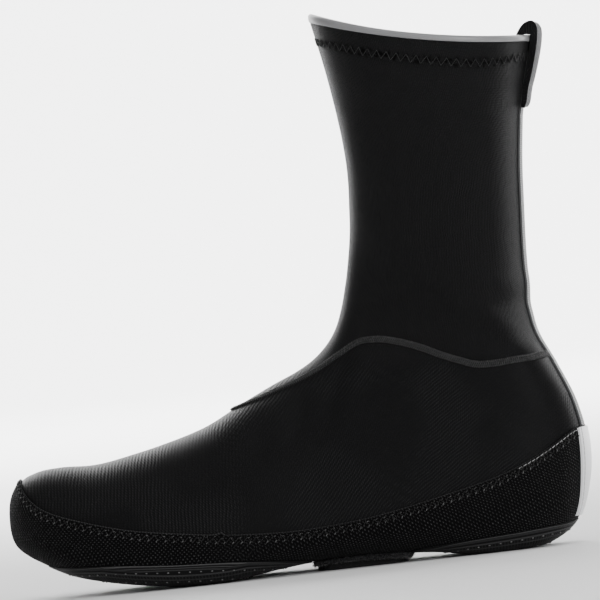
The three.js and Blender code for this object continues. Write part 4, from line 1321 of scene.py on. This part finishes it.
STRAP, tree, shader = material("hook_strap_back", Roughness=0.6, Specular_IOR_Level=0.25)
place = object_place(tree)
split = node(tree, "ShaderNodeSeparateXYZ", {"Vector": place})
rows = use_group(tree, "ribs", Value=times(tree, split.outputs[1], 1000.0), Pitch=1.1,
                 Share=0.8).outputs[0]
picks = use_group(tree, "ribs", Value=times(tree, split.outputs[0], 1000.0), Pitch=0.8,
                  Share=0.8).outputs[0]
height = times(tree, rows, picks)
bump(tree, shader, height, 0.0002)
paint(tree, shader, height, (0.0015, 0.0015, 0.0017), (0.02, 0.02, 0.021))

LOOP_INSIDE = GAP + RAND_WALL + CLEARANCE
LOOP_OUT = GAP + RAND_WALL + GAP + LOOP_WALL
HOOK_OUT = LOOP_OUT + GAP + HOOK_WALL
loop_panel = skin("loop_pile_panel", LOOP_INSIDE, LOOP_OUT, 230, 200, end=STATIONS[ROW["heel back"]])
below_edge = np.concatenate([STRAP_TOP, [[STRAP_TOP[-1, 0], 0], [STRAP_TOP[0, 0], 0]]])
cut(loop_panel, side_prism(below_edge), "INTERSECT")
cut(loop_panel, sole_post(window_outline(0.5985, -3, 50.4, 50, 4)), "INTERSECT")
finish_piece(loop_panel, PILE, "strap_loop")

BRISTLES, into, out = group("bristles", [("Geometry", "Geometry", None), ("Density", "Float", 1.0),
                                         ("Height", "Float", 1.0), ("Thickness", "Float", 0.1),
                                         ("Above", "Float", 0.0), ("Seed", "Int", 3), ("Material", "Material", None)],
                            [("Geometry", "Geometry")], "GeometryNodeTree")
lift = node(BRISTLES, "ShaderNodeSeparateXYZ", {0: node(BRISTLES, "GeometryNodeInputPosition").outputs[0]}).outputs[2]
above = node(BRISTLES, "FunctionNodeCompare", {0: lift, 1: in_metres(BRISTLES, into.outputs["Above"])},
             operation="GREATER_THAN", data_type="FLOAT")
spots = node(BRISTLES, "GeometryNodeDistributePointsOnFaces", {
    "Mesh": into.outputs["Geometry"], "Selection": above.outputs[0], "Density": into.outputs["Density"],
    "Seed": into.outputs["Seed"]})
hair = node(BRISTLES, "GeometryNodeMeshCone", {
    "Vertices": 3, "Radius Bottom": in_metres(BRISTLES, into.outputs["Thickness"]), "Radius Top": 0.0,
    "Depth": in_metres(BRISTLES, into.outputs["Height"])}, fill_type="NONE")
wild = node(BRISTLES, "FunctionNodeRandomValue", {"Min": (-0.5, -0.5, 0.0), "Max": (0.5, 0.5, 6.3),
                                                  "Seed": into.outputs["Seed"]}, data_type="FLOAT_VECTOR")
tilt = node(BRISTLES, "FunctionNodeEulerToRotation", {"Euler": wild.outputs[0]})
aimed = node(BRISTLES, "FunctionNodeRotateRotation", {"Rotation": spots.outputs["Rotation"],
                                                      "Rotate By": tilt.outputs[0]}, rotation_space="LOCAL")
fur = node(BRISTLES, "GeometryNodeInstanceOnPoints", {"Points": spots.outputs["Points"], "Instance": hair.outputs[0],
                                                      "Rotation": aimed.outputs[0]})
real = node(BRISTLES, "GeometryNodeRealizeInstances", {"Geometry": fur.outputs[0]})
done = node(BRISTLES, "GeometryNodeSetMaterial", {"Geometry": real.outputs[0],
                                                  "Material": into.outputs["Material"]})
BRISTLES.links.new(done.outputs[0], out.inputs["Geometry"])

HAIR = thread_material("pile_hair", 0.02, 0.2, 0.6)


def bristly(name, panel, slot, **sizes):
    grown = run_tree(keep(bpy.data.objects.new(name, panel.data.copy())), BRISTLES, Material=HAIR, **sizes)
    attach(grown, "root")
    print(name + ":", len(grown.data.polygons), "faces")


bristly("loop_bristles", loop_panel, "loop_pile", Density=1400000.0, Height=1.1, Thickness=0.07, Seed=3, Above=2.2)

above = [[-FAR, STRAP_LIFT], [FAR, STRAP_LIFT], [FAR, FAR], [-FAR, FAR]]
hook = skin("hook_strap_band", LOOP_OUT + CLEARANCE, HOOK_OUT, 230, 200, end=STATIONS[ROW["heel back"]])
cut(hook, sole_post(window_outline(0.5985, 3.5, 47, 55, 9)), "INTERSECT")
cut(hook, side_prism(above), "INTERSECT")
sewn = skin("hook_strap_sewn", LOOP_INSIDE, HOOK_OUT - 0.3, 230, 200, end=STATIONS[ROW["heel back"]])
cut(sewn, sole_post(window_outline(0.5985, 27, 47, 8, 1)), "INTERSECT")
cut(sewn, side_prism(above), "INTERSECT")
finish_piece(hook, STRAP, "strap_hook")
bristly("hook_bristles", hook, "hook_strap", Density=700000.0, Height=1.2, Thickness=0.06, Seed=7, Above=3.4)
finish_piece(sewn, STRAP, "strap_hook")

# %% [markdown]
# ## Floor, light and finish
# A pale floor that curves up behind the shoe, a large soft light above, and a tall light behind each end. Those two
# draw the bright edge along the shin and the heel that a black object needs.

# %% Floor and lights
FLOOR, tree, shader = material("pale_floor", Roughness=0.7, Specular_IOR_Level=0.2)
shader.inputs["Base Color"].default_value = (0.86, 0.86, 0.86, 1)
WALL, CURVE, WIDTH = 5.0, 1.6, 7.0  # where the floor starts to rise, how it bends and half its width, in metres
sweep_line = [(-7.0, 0.0), (WALL, 0.0)]
sweep_line += [(WALL + CURVE * math.sin(t), CURVE - CURVE * math.cos(t)) for t in np.linspace(0.1, math.pi / 2, 14)]
sweep_line += [(WALL + CURVE, 7.0)]
points = [(x, y, z) for y, z in sweep_line for x in (-WIDTH, WIDTH)]
faces = [[2 * i, 2 * i + 1, 2 * i + 3, 2 * i + 2] for i in range(len(sweep_line) - 1)]
floor = shade(mesh_object("floor", points, faces), 60)
floor.data.materials.append(FLOOR)


def soft_light(name, place, target, size, power, height=None):
    data = bpy.data.lights.new(name, "AREA")
    data.energy, data.size = power, size
    if height:
        data.shape, data.size_y = "RECTANGLE", height
    light = keep(bpy.data.objects.new(name, data))
    light.location = place
    light.rotation_euler = (Vector(target) - Vector(place)).to_track_quat("-Z", "Y").to_euler()
    return light


MIDDLE = (0.0, 0.0, 0.13)
soft_light("overhead", (0.0, -0.5, 1.7), MIDDLE, 1.2, 8)
soft_light("heel_fill", (1.3, -1.5, 0.7), (0.08, 0.0, 0.12), 0.7, 20)
soft_light("left_edge", (-0.7, 1.5, 0.8), MIDDLE, 0.5, 14, 1.5)
soft_light("right_edge", (1.0, 0.9, 0.5), MIDDLE, 0.5, 14, 1.3)
soft_light("backdrop", (0.0, 3.0, 3.4), (0.0, 6.6, 0.7), 3.0, 1050)
world = bpy.data.worlds.new("studio")
world.use_nodes = True
world.node_tree.nodes["Background"].inputs["Color"].default_value = (1, 1, 1, 1)
world.node_tree.nodes["Background"].inputs["Strength"].default_value = 0.5
bpy.context.scene.world = world
